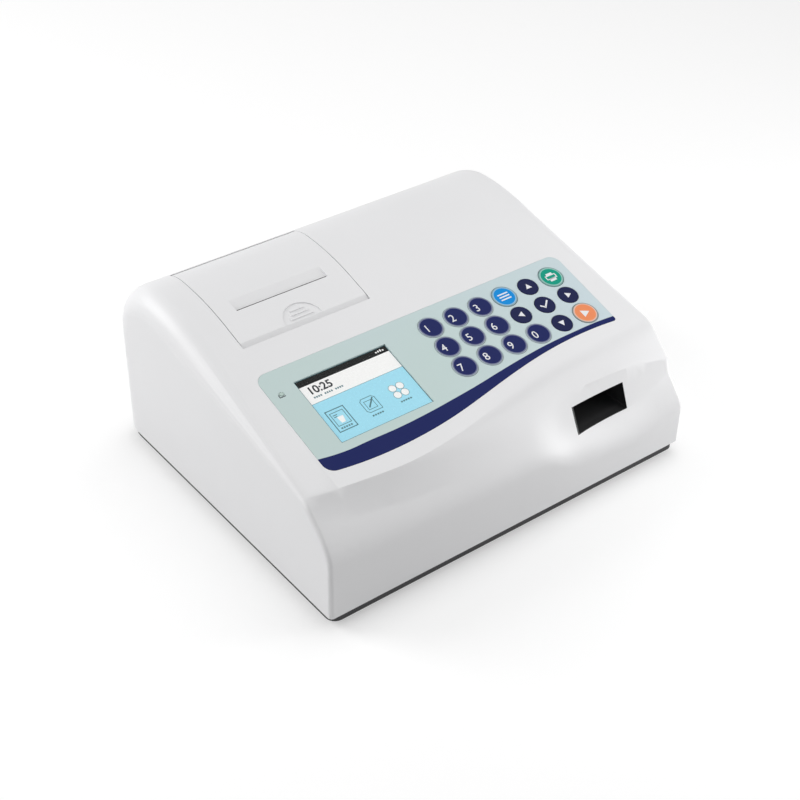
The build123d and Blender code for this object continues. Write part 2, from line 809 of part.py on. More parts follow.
def make_paper_bay():
    """Bucket for the roll with a shelf for the mechanism, hung from flanges on the cover."""
    under_door = door_thickness + 0.8
    outer = polygon([(bay_front, bay_shelf - bay_wall), (bay_step - bay_wall, bay_shelf - bay_wall),
                     (bay_step - bay_wall, bay_floor - bay_wall), (bay_rear, bay_floor - bay_wall),
                     (bay_rear, crest_z), (bay_front, crest_z)])
    inner = polygon([(bay_front + bay_wall, bay_shelf), (bay_step, bay_shelf),
                     (bay_step, bay_floor), (bay_rear - bay_wall, bay_floor),
                     (bay_rear - bay_wall, crest_z + 9), (bay_front + bay_wall, crest_z + 9)])
    lid_clear = roof(under_door, bay_front, bay_rear, low=bay_floor - 30)
    bay = side_plate(outer & lid_clear, bay_left, bay_right)
    bay -= side_plate(inner, bay_left + bay_wall, bay_right - bay_wall)
    # the rear wall stops under the hinge's sweep
    sweep = hypot(door_rear - hinge_y, hinge_below) + 0.8
    bay -= block(bay_left + bay_wall, bay_right - bay_wall, hinge_y - sweep, bay_rear + 1,
                 hinge_z - sweep, crest_z + 5)
    # the side walls stay clear of the door's rear edge; round bosses hold the pins
    bay -= block(bay_left - 1, bay_right + 1, hinge_y - hinge_seat_radius * 0.6, bay_rear + 1,
                 hinge_z - sweep, crest_z + 5)
    for left in (bay_left, bay_right - bay_wall):
        bay += rod_x(hinge_y, hinge_z, hinge_seat_radius, left, left + bay_wall)
    # side flanges under the cover's skin
    flange = roof_band(wall + seat_gap, wall + seat_gap + 2.0, bay_front + 4, crest_y)
    for x0, x1 in ((door_left - bay_flange, bay_left + 1), (bay_right - 1, door_right + bay_flange)):
        strip = side_plate(flange, x0, x1)
        keep_out = block(door_left - 0.2, door_right + 0.2, 0, case_depth, 0, 3 * case_depth)
        keep_out &= side_plate(roof(0.0, 0, case_depth) - roof(under_door, -1, case_depth + 1, -9),
                               door_left - 0.2, door_right + 0.2)
        bay += strip - keep_out
    # hinge pin seats and spindle notches
    bay -= rod_x(hinge_y, hinge_z, hinge_pin_radius, bay_left - 1, bay_right + 1)
    notch = spindle_radius * 0.7
    for x0, x1 in ((bay_left - 1, bay_left + bay_wall + 1), (bay_right - bay_wall - 1, bay_right + 1)):
        bay -= rod_x(roll_y, roll_z, notch, x0, x1)
    return bay


def make_roll_spindle():
    """Plastic spindle with stub ends in the bay's side walls."""
    gap = part_gap
    body = rod_x(roll_y, roll_z, spindle_radius, bay_left + bay_wall + gap,
                 bay_right - bay_wall - gap)
    stub = rod_x(roll_y, roll_z, spindle_radius * 0.7 - 0.05, bay_left + 0.2, bay_right - 0.2)
    return body + stub


def make_roll_core():
    left = door_middle - roll_length / 2
    tube = rod_x(roll_y, roll_z, core_radius, left, left + roll_length)
    return tube - rod_x(roll_y, roll_z, core_radius - core_wall, left - 1, left + roll_length + 1)


def make_paper_roll():
    left = door_middle - roll_length / 2
    roll = rod_x(roll_y, roll_z, roll_radius, left, left + roll_length)
    return roll - rod_x(roll_y, roll_z, core_radius, left - 1, left + roll_length + 1)


# ---------------------------------------------------------------- print mechanism
platen_left = door_middle - slot_width / 2
platen_right = door_middle + slot_width / 2
frame_left = platen_left - frame_side_gap - frame_plate
frame_right = platen_right + frame_side_gap + frame_plate
gear_left = frame_right + 0.4
gear_right = gear_left + gear_width
platen_pitch = gear_module * platen_teeth / 2
idler_pitch = gear_module * idler_teeth / 2
feed_pitch = gear_module * feed_teeth / 2
idler_offset = compass(platen_pitch + idler_pitch, idler_bearing)
idler_y, idler_z = platen_y + idler_offset[0], platen_z + idler_offset[1]
feed_offset = compass(idler_pitch + feed_pitch, feed_bearing)
feed_y, feed_z = idler_y + feed_offset[0], idler_z + feed_offset[1]
head_front = platen_y + platen_radius + 0.25
tooth_root = 0.33                       # half widths of a tooth, as shares of the pitch
tooth_tip = 0.13
tooth_addendum = 0.85                   # in modules
tooth_dedendum = 1.2


def gear_face(module, teeth, phase):
    """Toothed face about the origin; phase is the direction of one tooth, degrees."""
    pitch_radius = module * teeth / 2
    root = pitch_radius - tooth_dedendum * module
    tip = pitch_radius + tooth_addendum * module
    step = 360 / teeth
    points = []
    for i in range(teeth):
        middle = phase + i * step
        points += [compass(root, middle - tooth_root * step), compass(tip, middle - tooth_tip * step),
                   compass(tip, middle + tooth_tip * step), compass(root, middle + tooth_root * step)]
    return polygon(points)


def gear_x(module, teeth, phase, y, z, x0, x1):
    """Spur gear along x with its phase measured in the Y-Z plane."""
    return Pos(0, y, z) * side_plate(gear_face(module, teeth, phase), x0, x1)


def make_printer_frame():
    """Folded chassis: two side plates, a bottom and the beam behind the print head."""
    low = bay_shelf + 0.1
    front_top = frame_top - 1.5
    outline = polygon([(frame_front, low), (frame_rear, low), (frame_rear, frame_top),
                       (frame_front + 4, front_top), (frame_front, front_top - 6)])
    left = side_plate(outline, frame_left, frame_left + frame_plate)
    right = side_plate(outline, frame_right - frame_plate, frame_right)
    bottom = block(frame_left, frame_right, frame_front, frame_rear, low, low + frame_plate)
    beam = block(frame_left, frame_right, head_front + head_thickness, frame_rear,
                 frame_top - 10, frame_top)
    stud = rod_x(idler_y, idler_z, stud_radius, frame_right - 0.5, gear_right)
    frame = together([left, right, bottom, beam, stud])
    frame -= rod_x(platen_y, platen_z, shaft_radius + pin_clearance, frame_left - 1, frame_right + 1)
    frame -= rod_x(feed_y, feed_z, feed_shaft_radius + 0.3, frame_right - 2, frame_right + 1)
    return frame


def make_print_head():
    """Ceramic head plate with its row of heating dots at paper level."""
    top = platen_z + head_height / 2 - 1
    plate = block(platen_left + 0.5, platen_right - 0.5, head_front, head_front + head_thickness,
                  top - head_height, top)
    return plate


def make_platen_roller():
    rubber = rod_x(platen_y, platen_z, platen_radius, platen_left, platen_right)
    shaft = rod_x(platen_y, platen_z, shaft_radius, frame_left - 1.5, gear_right + 0.3)
    return rubber + shaft


def make_platen_gear():
    gear = gear_x(gear_module, platen_teeth, idler_bearing, platen_y, platen_z,
                  gear_left, gear_right)
    return gear - rod_x(platen_y, platen_z, shaft_radius, gear_left - 1, gear_right + 1)


def make_idler_gear():
    phase = idler_bearing + 180 + 180 / idler_teeth
    gear = gear_x(gear_module, idler_teeth, phase, idler_y, idler_z, gear_left, gear_right)
    return gear - rod_x(idler_y, idler_z, stud_radius + pin_clearance, gear_left - 1, gear_right + 1)


def make_feed_pinion():
    """Motor pinion on its shaft; one gap faces the idler's nearest tooth."""
    step = 360 / idler_teeth
    first = idler_bearing + 180 + 180 / idler_teeth
    lag = (first - feed_bearing) % step       # idler tooth ahead of the line of centres
    phase = feed_bearing + 180 + 180 / feed_teeth - lag * idler_teeth / feed_teeth
    gear = gear_x(gear_module, feed_teeth, phase, feed_y, feed_z, gear_left, gear_right)
    shaft = rod_x(feed_y, feed_z, feed_shaft_radius, frame_right - frame_plate - 8, gear_right)
    return gear + shaft


def make_feed_motor():
    right = frame_right - frame_plate
    can = rod_x(feed_y, feed_z, feed_motor_radius, right - feed_motor_length, right)
    foot = block(right - feed_motor_length, right, feed_y - 5, feed_y + 5,
                 bay_shelf + 0.1 + frame_plate, feed_z)
    return can + foot - rod_x(feed_y, feed_z, feed_shaft_radius + pin_clearance,
                              right - 9, right + 1)


# ---------------------------------------------------------------- strip tray and drive
tray_left = port_x - tray_width / 2 + 1.5
tray_bottom = port_sill + tray_lift
tray_top = tray_bottom + tray_thickness
tray_rear = tray_front + tray_length
guide_top = tray_bottom - part_gap
guide_bottom = guide_top - guide_floor
rack_pitch = pi * rack_module
pinion_pitch = rack_module * pinion_teeth / 2
rack_line = tray_left - rack_back - tooth_dedendum * rack_module
pinion_x = rack_line - pinion_pitch
guide_left = tray_left - guide_side
guide_right = tray_left + tray_width + guide_side


def make_strip_tray():
    """Tray with a groove for one test strip, a finger lip and a drip well."""
    x0, x1 = tray_left, tray_left + tray_width
    middle = (x0 + x1) / 2
    tray = block(x0, x1, tray_front, tray_rear, tray_bottom, tray_top)
    tray = fillet(tray.edges().filter_by(Axis.Z).group_by(Axis.Y)[0], 2.0)
    groove = block(middle - strip_width / 2, middle + strip_width / 2, tray_front + 8,
                   tray_front + 118, tray_top - strip_groove, tray_top + 1)
    well = block(middle - strip_width * 1.6, middle + strip_width * 1.6, tray_front + 14,
                 tray_front + 92, tray_top - 0.5, tray_top + 1)
    lip = block(middle - 6, middle + 6, tray_front - 1, tray_front + 5, tray_top - 1.6, tray_top + 1)
    tile = block(x0 + tile_side, x1 - tile_side, tray_front + tile_setback,
                 tray_front + tile_setback + tile_length, tray_top - tile_depth, tray_top + 1)
    return tray - groove - well - lip - tile


def make_calibration_tile():
    x0, x1 = tray_left + tile_side, tray_left + tray_width - tile_side
    return block(x0, x1, tray_front + tile_setback, tray_front + tile_setback + tile_length,
                 tray_top - tile_depth, tray_top)


def make_tray_rack():
    """Rack on the tray's left side; one gap lies opposite the pinion's tooth."""
    tip = rack_line - tooth_addendum * rack_module
    root = rack_line + tooth_dedendum * rack_module
    first = pinion_y - 2 * rack_pitch
    teeth = int((tray_rear - first) / rack_pitch)
    points = [(tray_left, first - rack_pitch / 2), (root, first - rack_pitch / 2)]
    for i in range(teeth):
        middle = first + (i + 0.5) * rack_pitch
        points += [(root, middle - tooth_root * rack_pitch), (tip, middle - tooth_tip * rack_pitch),
                   (tip, middle + tooth_tip * rack_pitch), (root, middle + tooth_root * rack_pitch)]
    points += [(root, tray_rear), (tray_left, tray_rear)]
    return Pos(0, 0, tray_bottom + 0.4) * extrude(polygon(points), pinion_width - 0.4)


def make_tray_pinion():
    gear = Pos(pinion_x, pinion_y, tray_bottom + 0.2) * extrude(
        gear_face(rack_module, pinion_teeth, 0), pinion_width)
    shaft = rod_z(pinion_x, pinion_y, tray_shaft_radius, guide_bottom - 8,
                  tray_bottom + 0.2 + pinion_width)
    return gear + shaft


def make_tray_motor():
    can = rod_z(pinion_x, pinion_y, tray_motor_radius, guide_bottom - tray_motor_height,
                guide_bottom)
    ears = block(pinion_x - 15, pinion_x + 15, pinion_y - 4, pinion_y + 4, guide_bottom - 1.0,
                 guide_bottom)
    motor = can + ears
    return motor - rod_z(pinion_x, pinion_y, tray_shaft_radius + pin_clearance,
                         guide_bottom - 9, guide_bottom + 1)


def make_tray_guide():
    """Floor and side rails; the right rail hooks over the tray's edge."""
    gap = part_gap
    right = tray_left + tray_width + gap
    floor = block(guide_left, guide_right, sleeve_rear, guide_rear, guide_bottom, guide_top)
    rail = block(right, right + rail_width, sleeve_rear + 4, guide_rear, guide_bottom,
                 tray_top + gap)
    hook = block(right - 2.0, right + rail_width, sleeve_rear + 4, guide_rear, tray_top + gap,
                 tray_top + gap + 1.5)
    left_edge = rack_line - tooth_addendum * rack_module - gap
    fence = block(left_edge - rail_width, left_edge, sleeve_rear + 4, guide_rear, guide_bottom,
                  tray_top + gap)
    stop = block(tray_left, tray_left + tray_width, tray_rear + gap, guide_rear, guide_bottom,
                 tray_top)
    guide = together([floor, rail, hook, fence, stop])
    reach = pinion_pitch + tooth_addendum * rack_module + 0.6
    guide -= rod_z(pinion_x, pinion_y, reach, guide_top, tray_top + 5)
    guide -= rod_z(pinion_x, pinion_y, tray_shaft_radius + 0.4, guide_bottom - 1, guide_top + 1)
    return guide


def make_port_sleeve():
    """Black tunnel from the port to the guide; its front end follows the case wall."""
    tube = port_prism(0.3 + sleeve_wall, 3.0, sleeve_rear) - port_prism(0.3, 0.0, sleeve_rear + 1)
    return tube & case_form(wall + seat_gap, -1.0)


def make_optics_head():
    """Reading head above the tray with its slot for the light."""
    middle = tray_left + tray_width / 2
    low = tray_top + optics_gap
    body = block(middle - optics_width / 2, middle + optics_width / 2, optics_front,
                 optics_front + optics_length, low, low + optics_height)
    body = chamfer(body.edges().filter_by(Axis.Z), 2.0)
    slit = block(middle - slit_width / 2, middle + slit_width / 2, optics_front + slit_setback,
                 optics_front + slit_setback + slit_length, low - 1, low + slit_depth)
    return body - slit


def make_optics_bracket():
    """Bridge over the tray that carries the reading head."""
    low = tray_top + optics_gap + optics_height
    y0, y1 = optics_front + 3, optics_front + optics_length - 3
    x0, x1 = guide_left + 1, guide_right - 1
    top = block(x0, x1, y0, y1, low, low + bracket_plate)
    legs = [block(x0, x0 + bracket_plate, y0, y1, guide_top, low + bracket_plate),
            block(x1 - bracket_plate, x1, y0, y1, guide_top, low + bracket_plate)]
    return together([top] + legs)


# ---------------------------------------------------------------- electronics and back
def make_main_board():
    return block(board_left, board_left + board_width, board_front, board_front + board_depth,
                 board_lift, board_lift + board_thickness)


def make_board_parts():
    """Processor, memory, regulators, capacitors and plug headers."""
    z = board_lift + board_thickness
    chips = [(30, 30, 14, 14, 1.6), (62, 34, 10, 14, 1.4), (30, 66, 8, 12, 1.4),
             (board_width - 36, 22, 24, 6, 7.0), (board_width - 36, 92, 30, 6, 7.0),
             (12, 96, 20, 6, 7.0)]
    pieces = []
    for dx, dy, sx, sy, height in chips:
        x, y = board_left + dx, board_front + dy
        pieces.append(block(x, x + sx, y, y + sy, z, z + height))
    for dx in (60, 74, 88):
        pieces.append(rod_z(board_left + dx, board_front + 66, 5.0, z, z + 12))
    return together(pieces)


def make_board_screws():
    pieces = []
    for x, y in board_post_places():
        top = board_lift + board_thickness
        pieces.append(rod_z(x, y, 2.8, top, top + 1.8))
    return together(pieces)


def rear_screw_places():
    m = rear_panel_margin / 2
    return [(x, z) for x in (rear_panel_left - m, panel_rear_right + m)
            for z in (rear_panel_bottom + 4, panel_rear_top - 4)]


rear_face = case_depth - wall - seat_gap  # outer face of the plate behind the back wall
rear_outer = rear_face + rear_panel_boss
switch_x = rear_panel_left + 18
jack_x = rear_panel_left + 44
serial_x = rear_panel_left + 78
rear_z = rear_panel_bottom + rear_panel_height / 2


def make_rear_panel():
    m = rear_panel_margin
    plate = block(rear_panel_left - m, panel_rear_right + m, rear_face - rear_panel_thickness,
                  rear_face, rear_panel_bottom - 4, panel_rear_top + 4)
    boss = block(rear_panel_left + 0.3, panel_rear_right - 0.3, rear_face - 0.5, rear_outer,
                 rear_panel_bottom + 0.3, panel_rear_top - 0.3)
    panel = plate + boss
    panel -= block(switch_x - switch_width / 2, switch_x + switch_width / 2, rear_face - 9,
                   rear_face + 9, rear_z - switch_height / 2, rear_z + switch_height / 2)
    panel -= block(jack_x - jack_body / 2, jack_x + jack_body / 2, rear_face - 9, rear_face + 9,
                   rear_z - jack_body / 2, rear_z + jack_body / 2)
    panel -= block(serial_x - 10, serial_x + 10, rear_face - 9, rear_face + 9,
                   rear_z - 5.5, rear_z + 5.5)
    for x, z in rear_screw_places():
        panel -= rod_y(x, z, screw_radius, rear_face - 9, rear_face + 9)
    return panel


def make_rear_screws():
    pieces = []
    for x, z in rear_screw_places():
        shank = rod_y(x, z, screw_radius, rear_face - rear_panel_thickness - 3, case_depth)
        head = rod_y(x, z, screw_head_radius, case_depth, case_depth + 1.6)
        pieces.append(shank + head)
    return together(pieces)


def make_switch_housing():
    w, h = switch_width - 0.2, switch_height - 0.2
    body = block(switch_x - w / 2, switch_x + w / 2, rear_outer - switch_depth, rear_outer,
                 rear_z - h / 2, rear_z + h / 2)
    flange = block(switch_x - w / 2 - 1, switch_x + w / 2 + 1, rear_outer,
                   rear_outer + switch_flange, rear_z - h / 2 - 1, rear_z + h / 2 + 1)
    cavity = block(switch_x - w / 2 + 2.2, switch_x + w / 2 - 2.2, rear_outer - 8, rear_outer + 5,
                   rear_z - rocker_radius - part_gap, rear_z + rocker_radius + part_gap)
    terminals = [block(switch_x + dx - 0.4, switch_x + dx + 0.4, rear_outer - switch_depth - 7,
                       rear_outer - switch_depth + 0.5, rear_z - 2.4, rear_z + 2.4)
                 for dx in (-4.5, 4.5)]
    return together([body + flange - cavity] + terminals)


def make_power_rocker():
    """Rocker tilted to its off side: a round heel and two flats that meet in a shallow V."""
    half = switch_width / 2 - 2.3 - part_gap
    pivot_y = rear_outer - 2.0
    heel = Circle(rocker_radius)
    high = polygon([(2.4, 0), (5.4, rocker_radius + 1), (9, 9), (9, -9), (5.4, -rocker_radius - 1)])
    outline = Rot(0, 0, rocker_tilt) * (heel - high)
    return Pos(0, pivot_y, rear_z) * side_plate(outline, switch_x - half, switch_x + half)


def make_power_jack():
    half = jack_body / 2 - 0.1
    body = block(jack_x - half, jack_x + half, rear_outer - jack_depth, rear_outer + 0.4,
                 rear_z - half, rear_z + half)
    return body - rod_y(jack_x, rear_z, jack_bore, rear_outer - 9.5, rear_outer + 3)


def make_serial_port():
    """Nine-way socket: flange, D-shaped shell and two hex posts."""
    flange = block(serial_x - serial_width / 2, serial_x + serial_width / 2, rear_outer,
                   rear_outer + 0.8, rear_z - serial_height / 2, rear_z + serial_height / 2)
    body = block(serial_x - 9.8, serial_x + 9.8, rear_outer - 8, rear_outer, rear_z - 5.3,
                 rear_z + 5.3)
    outline = polygon([(-8.2, 4.0), (8.2, 4.0), (6.9, -4.0), (-6.9, -4.0)])
    outline = fillet(outline.vertices(), 1.6)
    # Plane.XZ looks towards the front, so the shell grows to +y with a negative amount
    shell = Pos(serial_x, rear_outer, rear_z) * extrude(Plane.XZ * outline, amount=-serial_shell)
    posts = []
    for dx in (-12.5, 12.5):
        hexagon = Plane.XZ * RegularPolygon(2.7, 6)
        posts.append(Pos(serial_x + dx, rear_outer + 0.8, rear_z) * extrude(hexagon, amount=-4.5))
    return together([flange, body, shell] + posts)


# ---------------------------------------------------------------- build
def all_pieces():
    """Name and shape of every piece."""
    pieces = {
        "top_cover": make_top_cover(),
        "base_tray": make_base_tray(),
        "rubber_feet": make_feet(),
        "case_screws": make_case_screws(),
        "membrane_overlay": make_overlay(),
        "keypad_spacer": make_spacer(),
        "keypad_circuit": make_circuit(),
        "display_window": make_display_window(),
        "display_module": make_display_module(),
        "display_board": make_display_board(),
        "status_lamp": make_status_lamp(),
        "printer_door": make_printer_door(),
        "door_hinge_pins": make_hinge_pins(),
        "paper_bay": make_paper_bay(),
        "roll_spindle": make_roll_spindle(),
        "roll_core": make_roll_core(),
        "paper_roll": make_paper_roll(),
        "printer_frame": make_printer_frame(),
        "print_head": make_print_head(),
        "platen_roller": make_platen_roller(),
        "platen_gear": make_platen_gear(),
        "idler_gear": make_idler_gear(),
        "feed_pinion": make_feed_pinion(),
        "feed_motor": make_feed_motor(),
        "port_sleeve": make_port_sleeve(),
        "tray_guide": make_tray_guide(),
        "strip_tray": make_strip_tray(),
        "calibration_tile": make_calibration_tile(),
        "tray_rack": make_tray_rack(),
        "tray_pinion": make_tray_pinion(),
        "tray_motor": make_tray_motor(),
        "optics_head": make_optics_head(),
        "optics_bracket": make_optics_bracket(),
        "main_board": make_main_board(),
        "board_parts": make_board_parts(),
        "board_screws": make_board_screws(),
        "rear_panel": make_rear_panel(),
        "rear_screws": make_rear_screws(),
        "switch_housing": make_switch_housing(),
        "power_rocker": make_power_rocker(),
        "power_jack": make_power_jack(),
    }
    pieces["serial_port"] = make_serial_port()
    for name, u, v, radius in keys:
        pieces[name] = make_key(u, v, radius)
    return pieces


for name, shape in all_pieces().items():
    export_step(case_place * shape, f"parts/{name}.step")
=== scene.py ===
import math

import bmesh
import bpy
from mathutils import Matrix, Vector


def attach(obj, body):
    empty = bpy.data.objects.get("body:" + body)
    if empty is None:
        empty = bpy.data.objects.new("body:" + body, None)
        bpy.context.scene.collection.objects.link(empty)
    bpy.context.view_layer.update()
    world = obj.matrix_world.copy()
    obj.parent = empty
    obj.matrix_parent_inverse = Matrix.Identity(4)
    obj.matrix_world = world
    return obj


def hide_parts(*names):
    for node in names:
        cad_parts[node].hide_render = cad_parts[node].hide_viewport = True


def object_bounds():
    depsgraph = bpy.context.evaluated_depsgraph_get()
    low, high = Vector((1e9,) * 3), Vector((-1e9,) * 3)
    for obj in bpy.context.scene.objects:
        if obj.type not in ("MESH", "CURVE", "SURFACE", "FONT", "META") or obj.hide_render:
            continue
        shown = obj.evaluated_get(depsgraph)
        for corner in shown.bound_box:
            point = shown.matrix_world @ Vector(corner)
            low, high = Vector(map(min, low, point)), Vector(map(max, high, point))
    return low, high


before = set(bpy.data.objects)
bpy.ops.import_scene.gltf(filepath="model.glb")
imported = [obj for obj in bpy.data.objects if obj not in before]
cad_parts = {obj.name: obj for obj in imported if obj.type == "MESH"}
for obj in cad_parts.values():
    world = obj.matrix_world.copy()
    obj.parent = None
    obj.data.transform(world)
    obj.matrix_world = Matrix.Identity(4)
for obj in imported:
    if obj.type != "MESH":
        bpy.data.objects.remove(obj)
cad_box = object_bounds()

# ---------------------------------------------------------------- sizes, millimetres
# Case coordinates: x from the left wall, y from the front, z from the cover's lower edge.
CASE_WIDTH, UNIT_DEPTH = (round((high - low) * 1000, 2) for low, high in list(zip(*cad_box))[:2])
SOCKET_REACH = 4.35                     # rear sockets, behind the case
CASE_DEPTH = UNIT_DEPTH - SOCKET_REACH
COVER_LIFT = 8.0                        # cover's lower edge above the table
SLOPE_ANGLE = math.radians(16.25)
SLOPE_BASE = 57.5
SLOPE_COS, SLOPE_SIN = math.cos(SLOPE_ANGLE), math.sin(SLOPE_ANGLE)

KEY_FIRST_U, KEY_FIRST_V = 128.6, 87.4
KEY_PITCH_U, KEY_PITCH_V = 17.76, 15.69
KEY_FACE = 0.4                          # key tops above the slope
KEY_DISC = 6.3                          # coloured disc inside the key's ring
RING_WIDTH, RING_BLUR = 0.7, 0.15       # ring around it, and how softly it ends
INK_BLUR = 0.08                         # half width of a printed edge

WINDOW = (38.3, 44.1, 98.2, 89.3)       # left, bottom, right, top in the slope
SCREEN_LEVEL = -0.46                    # picture plane under the window
BAR_BOTTOM = 84.6                       # status bar of the screen
HEADER_BOTTOM = 72.2                    # white clock band
PRINT_LEVEL = 0.1                       # face of the printed panel

# Painted shade of the strip port, a black box in the frame's millimetres: left, bottom, right,
# top, and its rear end.
# It takes in the port's walls and a lip of 1.1 mm on the cover's face at the left.
PORT_LEFT, PORT_BOTTOM, PORT_RIGHT, PORT_TOP = 48.75, 41.9, 88.2, 56.66
PORT_REAR = -80.0

# Upper edge of the dark wave on the panel, (u, v)
WAVE_TOP = [(20.0, 41.3), (36.6, 38.9), (52.6, 38.7), (71.0, 38.4), (92.0, 39.2), (108.0, 40.4),
            (126.0, 42.0), (144.6, 44.2), (163.0, 46.1), (182.0, 47.4), (200.0, 47.7),
            (219.0, 47.5), (232.0, 46.5)]


def in_case(x, y, z):
    """Point given in case coordinates, in the frame's metres."""
    return Vector(((x - CASE_WIDTH / 2) / 1000, (y - UNIT_DEPTH / 2) / 1000,
                   (z + COVER_LIFT) / 1000))


def on_slope(u, v, w):
    """Point given across the case, up the slope and out of it, in the frame's metres."""
    return in_case(u, v * SLOPE_COS - w * SLOPE_SIN,
                   SLOPE_BASE + v * SLOPE_SIN + w * SLOPE_COS)


# ---------------------------------------------------------------- shader expressions
class Signal:
    """A shader socket that can be used in sums."""

    def __init__(self, finish, socket):
        self.finish, self.socket = finish, socket

    def _math(self, operation, *operands):
        return self.finish.add("ShaderNodeMath", {"operation": operation},
                               dict(enumerate(operands)))

    def __add__(self, other):
        return self._math("ADD", self, other)

    def __radd__(self, other):
        return self._math("ADD", other, self)

    def __sub__(self, other):
        return self._math("SUBTRACT", self, other)

    def __rsub__(self, other):
        return self._math("SUBTRACT", other, self)

    def __mul__(self, other):
        return self._math("MULTIPLY", self, other)

    def __rmul__(self, other):
        return self._math("MULTIPLY", other, self)

    def __truediv__(self, other):
        return self._math("DIVIDE", self, other)

    def __pow__(self, other):
        return self._math("POWER", self, other)

    def __lt__(self, other):
        return self._math("LESS_THAN", self, other)

    def __gt__(self, other):
        return self._math("GREATER_THAN", self, other)

    def fraction(self):
        return self._math("FRACT", self)

    def step(self, low, high):
        """0 below low, 1 above high, even in between."""
        return self.finish.add("ShaderNodeMapRange", {"clamp": True},
                               {"Value": self, "From Min": low, "From Max": high})


class Finish:
    """One material: a Principled shader and the nodes that vary it."""

    def __init__(self, name, colour, roughness=0.5, metallic=0.0, **fixed):
        self.material = bpy.data.materials.new(name)
        self.material.use_nodes = True
        self.tree = self.material.node_tree
        self.shader = self.tree.nodes["Principled BSDF"]
        self.colour = (*colour, 1.0)
        self.set("Base Color", self.colour)
        self.set("Roughness", roughness)
        self.set("Metallic", metallic)
        for socket, value in fixed.items():
            self.set(socket.replace("_", " "), value)
        coordinates = self.tree.nodes.new("ShaderNodeTexCoord")
        self.place = Signal(self, coordinates.outputs["Object"])
        parts = self.tree.nodes.new("ShaderNodeSeparateXYZ")
        self.feed(parts.inputs[0], self.place)
        self.x, self.y, self.z = (Signal(self, output) for output in parts.outputs)

    def feed(self, socket, value):
        if isinstance(value, Signal):
            self.tree.links.new(value.socket, socket)
        else:
            socket.default_value = value

    def set(self, name, value):
        self.feed(self.shader.inputs[name], value)

    def add(self, kind, settings=None, inputs=None, output=0):
        node = self.tree.nodes.new(kind)
        for name, value in (settings or {}).items():
            setattr(node, name, value)
        for name, value in (inputs or {}).items():
            self.feed(node.inputs[name], value)
        return Signal(self, node.outputs[output])

    def noise(self, scale, detail=2.0, stretch=None):
        where = self.place
        if stretch:
            where = self.add("ShaderNodeMapping", None, {"Vector": where, "Scale": stretch})
        return self.add("ShaderNodeTexNoise", None,
                        {"Vector": where, "Scale": scale, "Detail": detail})

    def mix(self, mask, low, high):
        node = self.tree.nodes.new("ShaderNodeMix")
        node.data_type = "RGBA"
        for socket, value in zip((node.inputs[0], node.inputs[6], node.inputs[7]),
                                 (mask, low, high)):
            self.feed(socket, value)
        return Signal(self, node.outputs[2])

    def bump(self, height, depth, strength=1.0):
        self.set("Normal", self.add("ShaderNodeBump", None,
                                    {"Height": height, "Distance": depth, "Strength": strength}))

    def shade(self, amount):
        """The finish's colour made darker by an amount."""
        return tuple(c * (1 - amount) for c in self.colour[:3]) + (1.0,)

    def slope_place(self):
        """Signals for u and v on the slope, in millimetres."""
        u = self.x * 1000 + CASE_WIDTH / 2
        y = self.y * 1000 + UNIT_DEPTH / 2
        z = self.z * 1000 - (COVER_LIFT + SLOPE_BASE)
        return u, y * SLOPE_COS + z * SLOPE_SIN


def moulded(name, colour, roughness=0.45, grain=1400.0, depth=0.00001, drift=0.02):
    """Injection moulding: spark-eroded grain, slight cloudiness and uneven gloss."""
    made = Finish(name, colour, roughness)
    clouds = made.noise(14.0, 3.0)
    made.set("Base Color", made.mix(clouds.step(0.3, 0.7), made.colour, made.shade(drift)))
    made.set("Roughness", roughness + (made.noise(60.0, 2.0) - 0.5) * 0.1)
    made.bump(made.noise(grain, 3.0), depth, 0.35)
    return made


def sheet_metal(name, colour, roughness=0.35):
    """Plated sheet with rolling marks along x."""
    made = Finish(name, colour, roughness, 1.0)
    marks = made.noise(60.0, 4.0, stretch=(1.0, 30.0, 30.0))
    made.set("Roughness", roughness + (marks - 0.5) * 0.2)
    made.set("Base Color", made.mix(made.noise(25.0, 2.0).step(0.35, 0.7), made.colour,
                                    made.shade(0.12)))
    made.bump(marks, 0.00001, 0.3)
    return made


def film(name, colour, roughness=0.42):
    """Printed polyester film with a fine matt grain."""
    made = Finish(name, colour, roughness, Specular_IOR_Level=0.08)
    made.set("Roughness", roughness + (made.noise(45.0, 2.0) - 0.5) * 0.08)
    made.bump(made.noise(2600.0, 2.0), 0.000006, 0.3)
    return made


def ink(name, colour, roughness=0.45, glow=0.0):
    """Print on a film or light from a screen, slightly uneven."""
    made = Finish(name, colour, roughness, Specular_IOR_Level=0.1)
    tint = made.mix(made.noise(900.0, 1.0).step(0.3, 0.7), made.colour, made.shade(0.04))
    made.set("Base Color", tint)
    if glow:
        made.set("Emission Color", tint)
        made.set("Emission Strength", glow)
    return made


# ---------------------------------------------------------------- finishes
WHITE = (0.80, 0.80, 0.81)
# painted shade of the strip port's walls and of a lip beside it
PORT_SHADE_BLACK = (0.006, 0.006, 0.007)
NAVY = (0.008, 0.015, 0.105)
TEAL = (0.57, 0.70, 0.66)
TEAL_BLUE = (0.60, 0.70, 0.74)


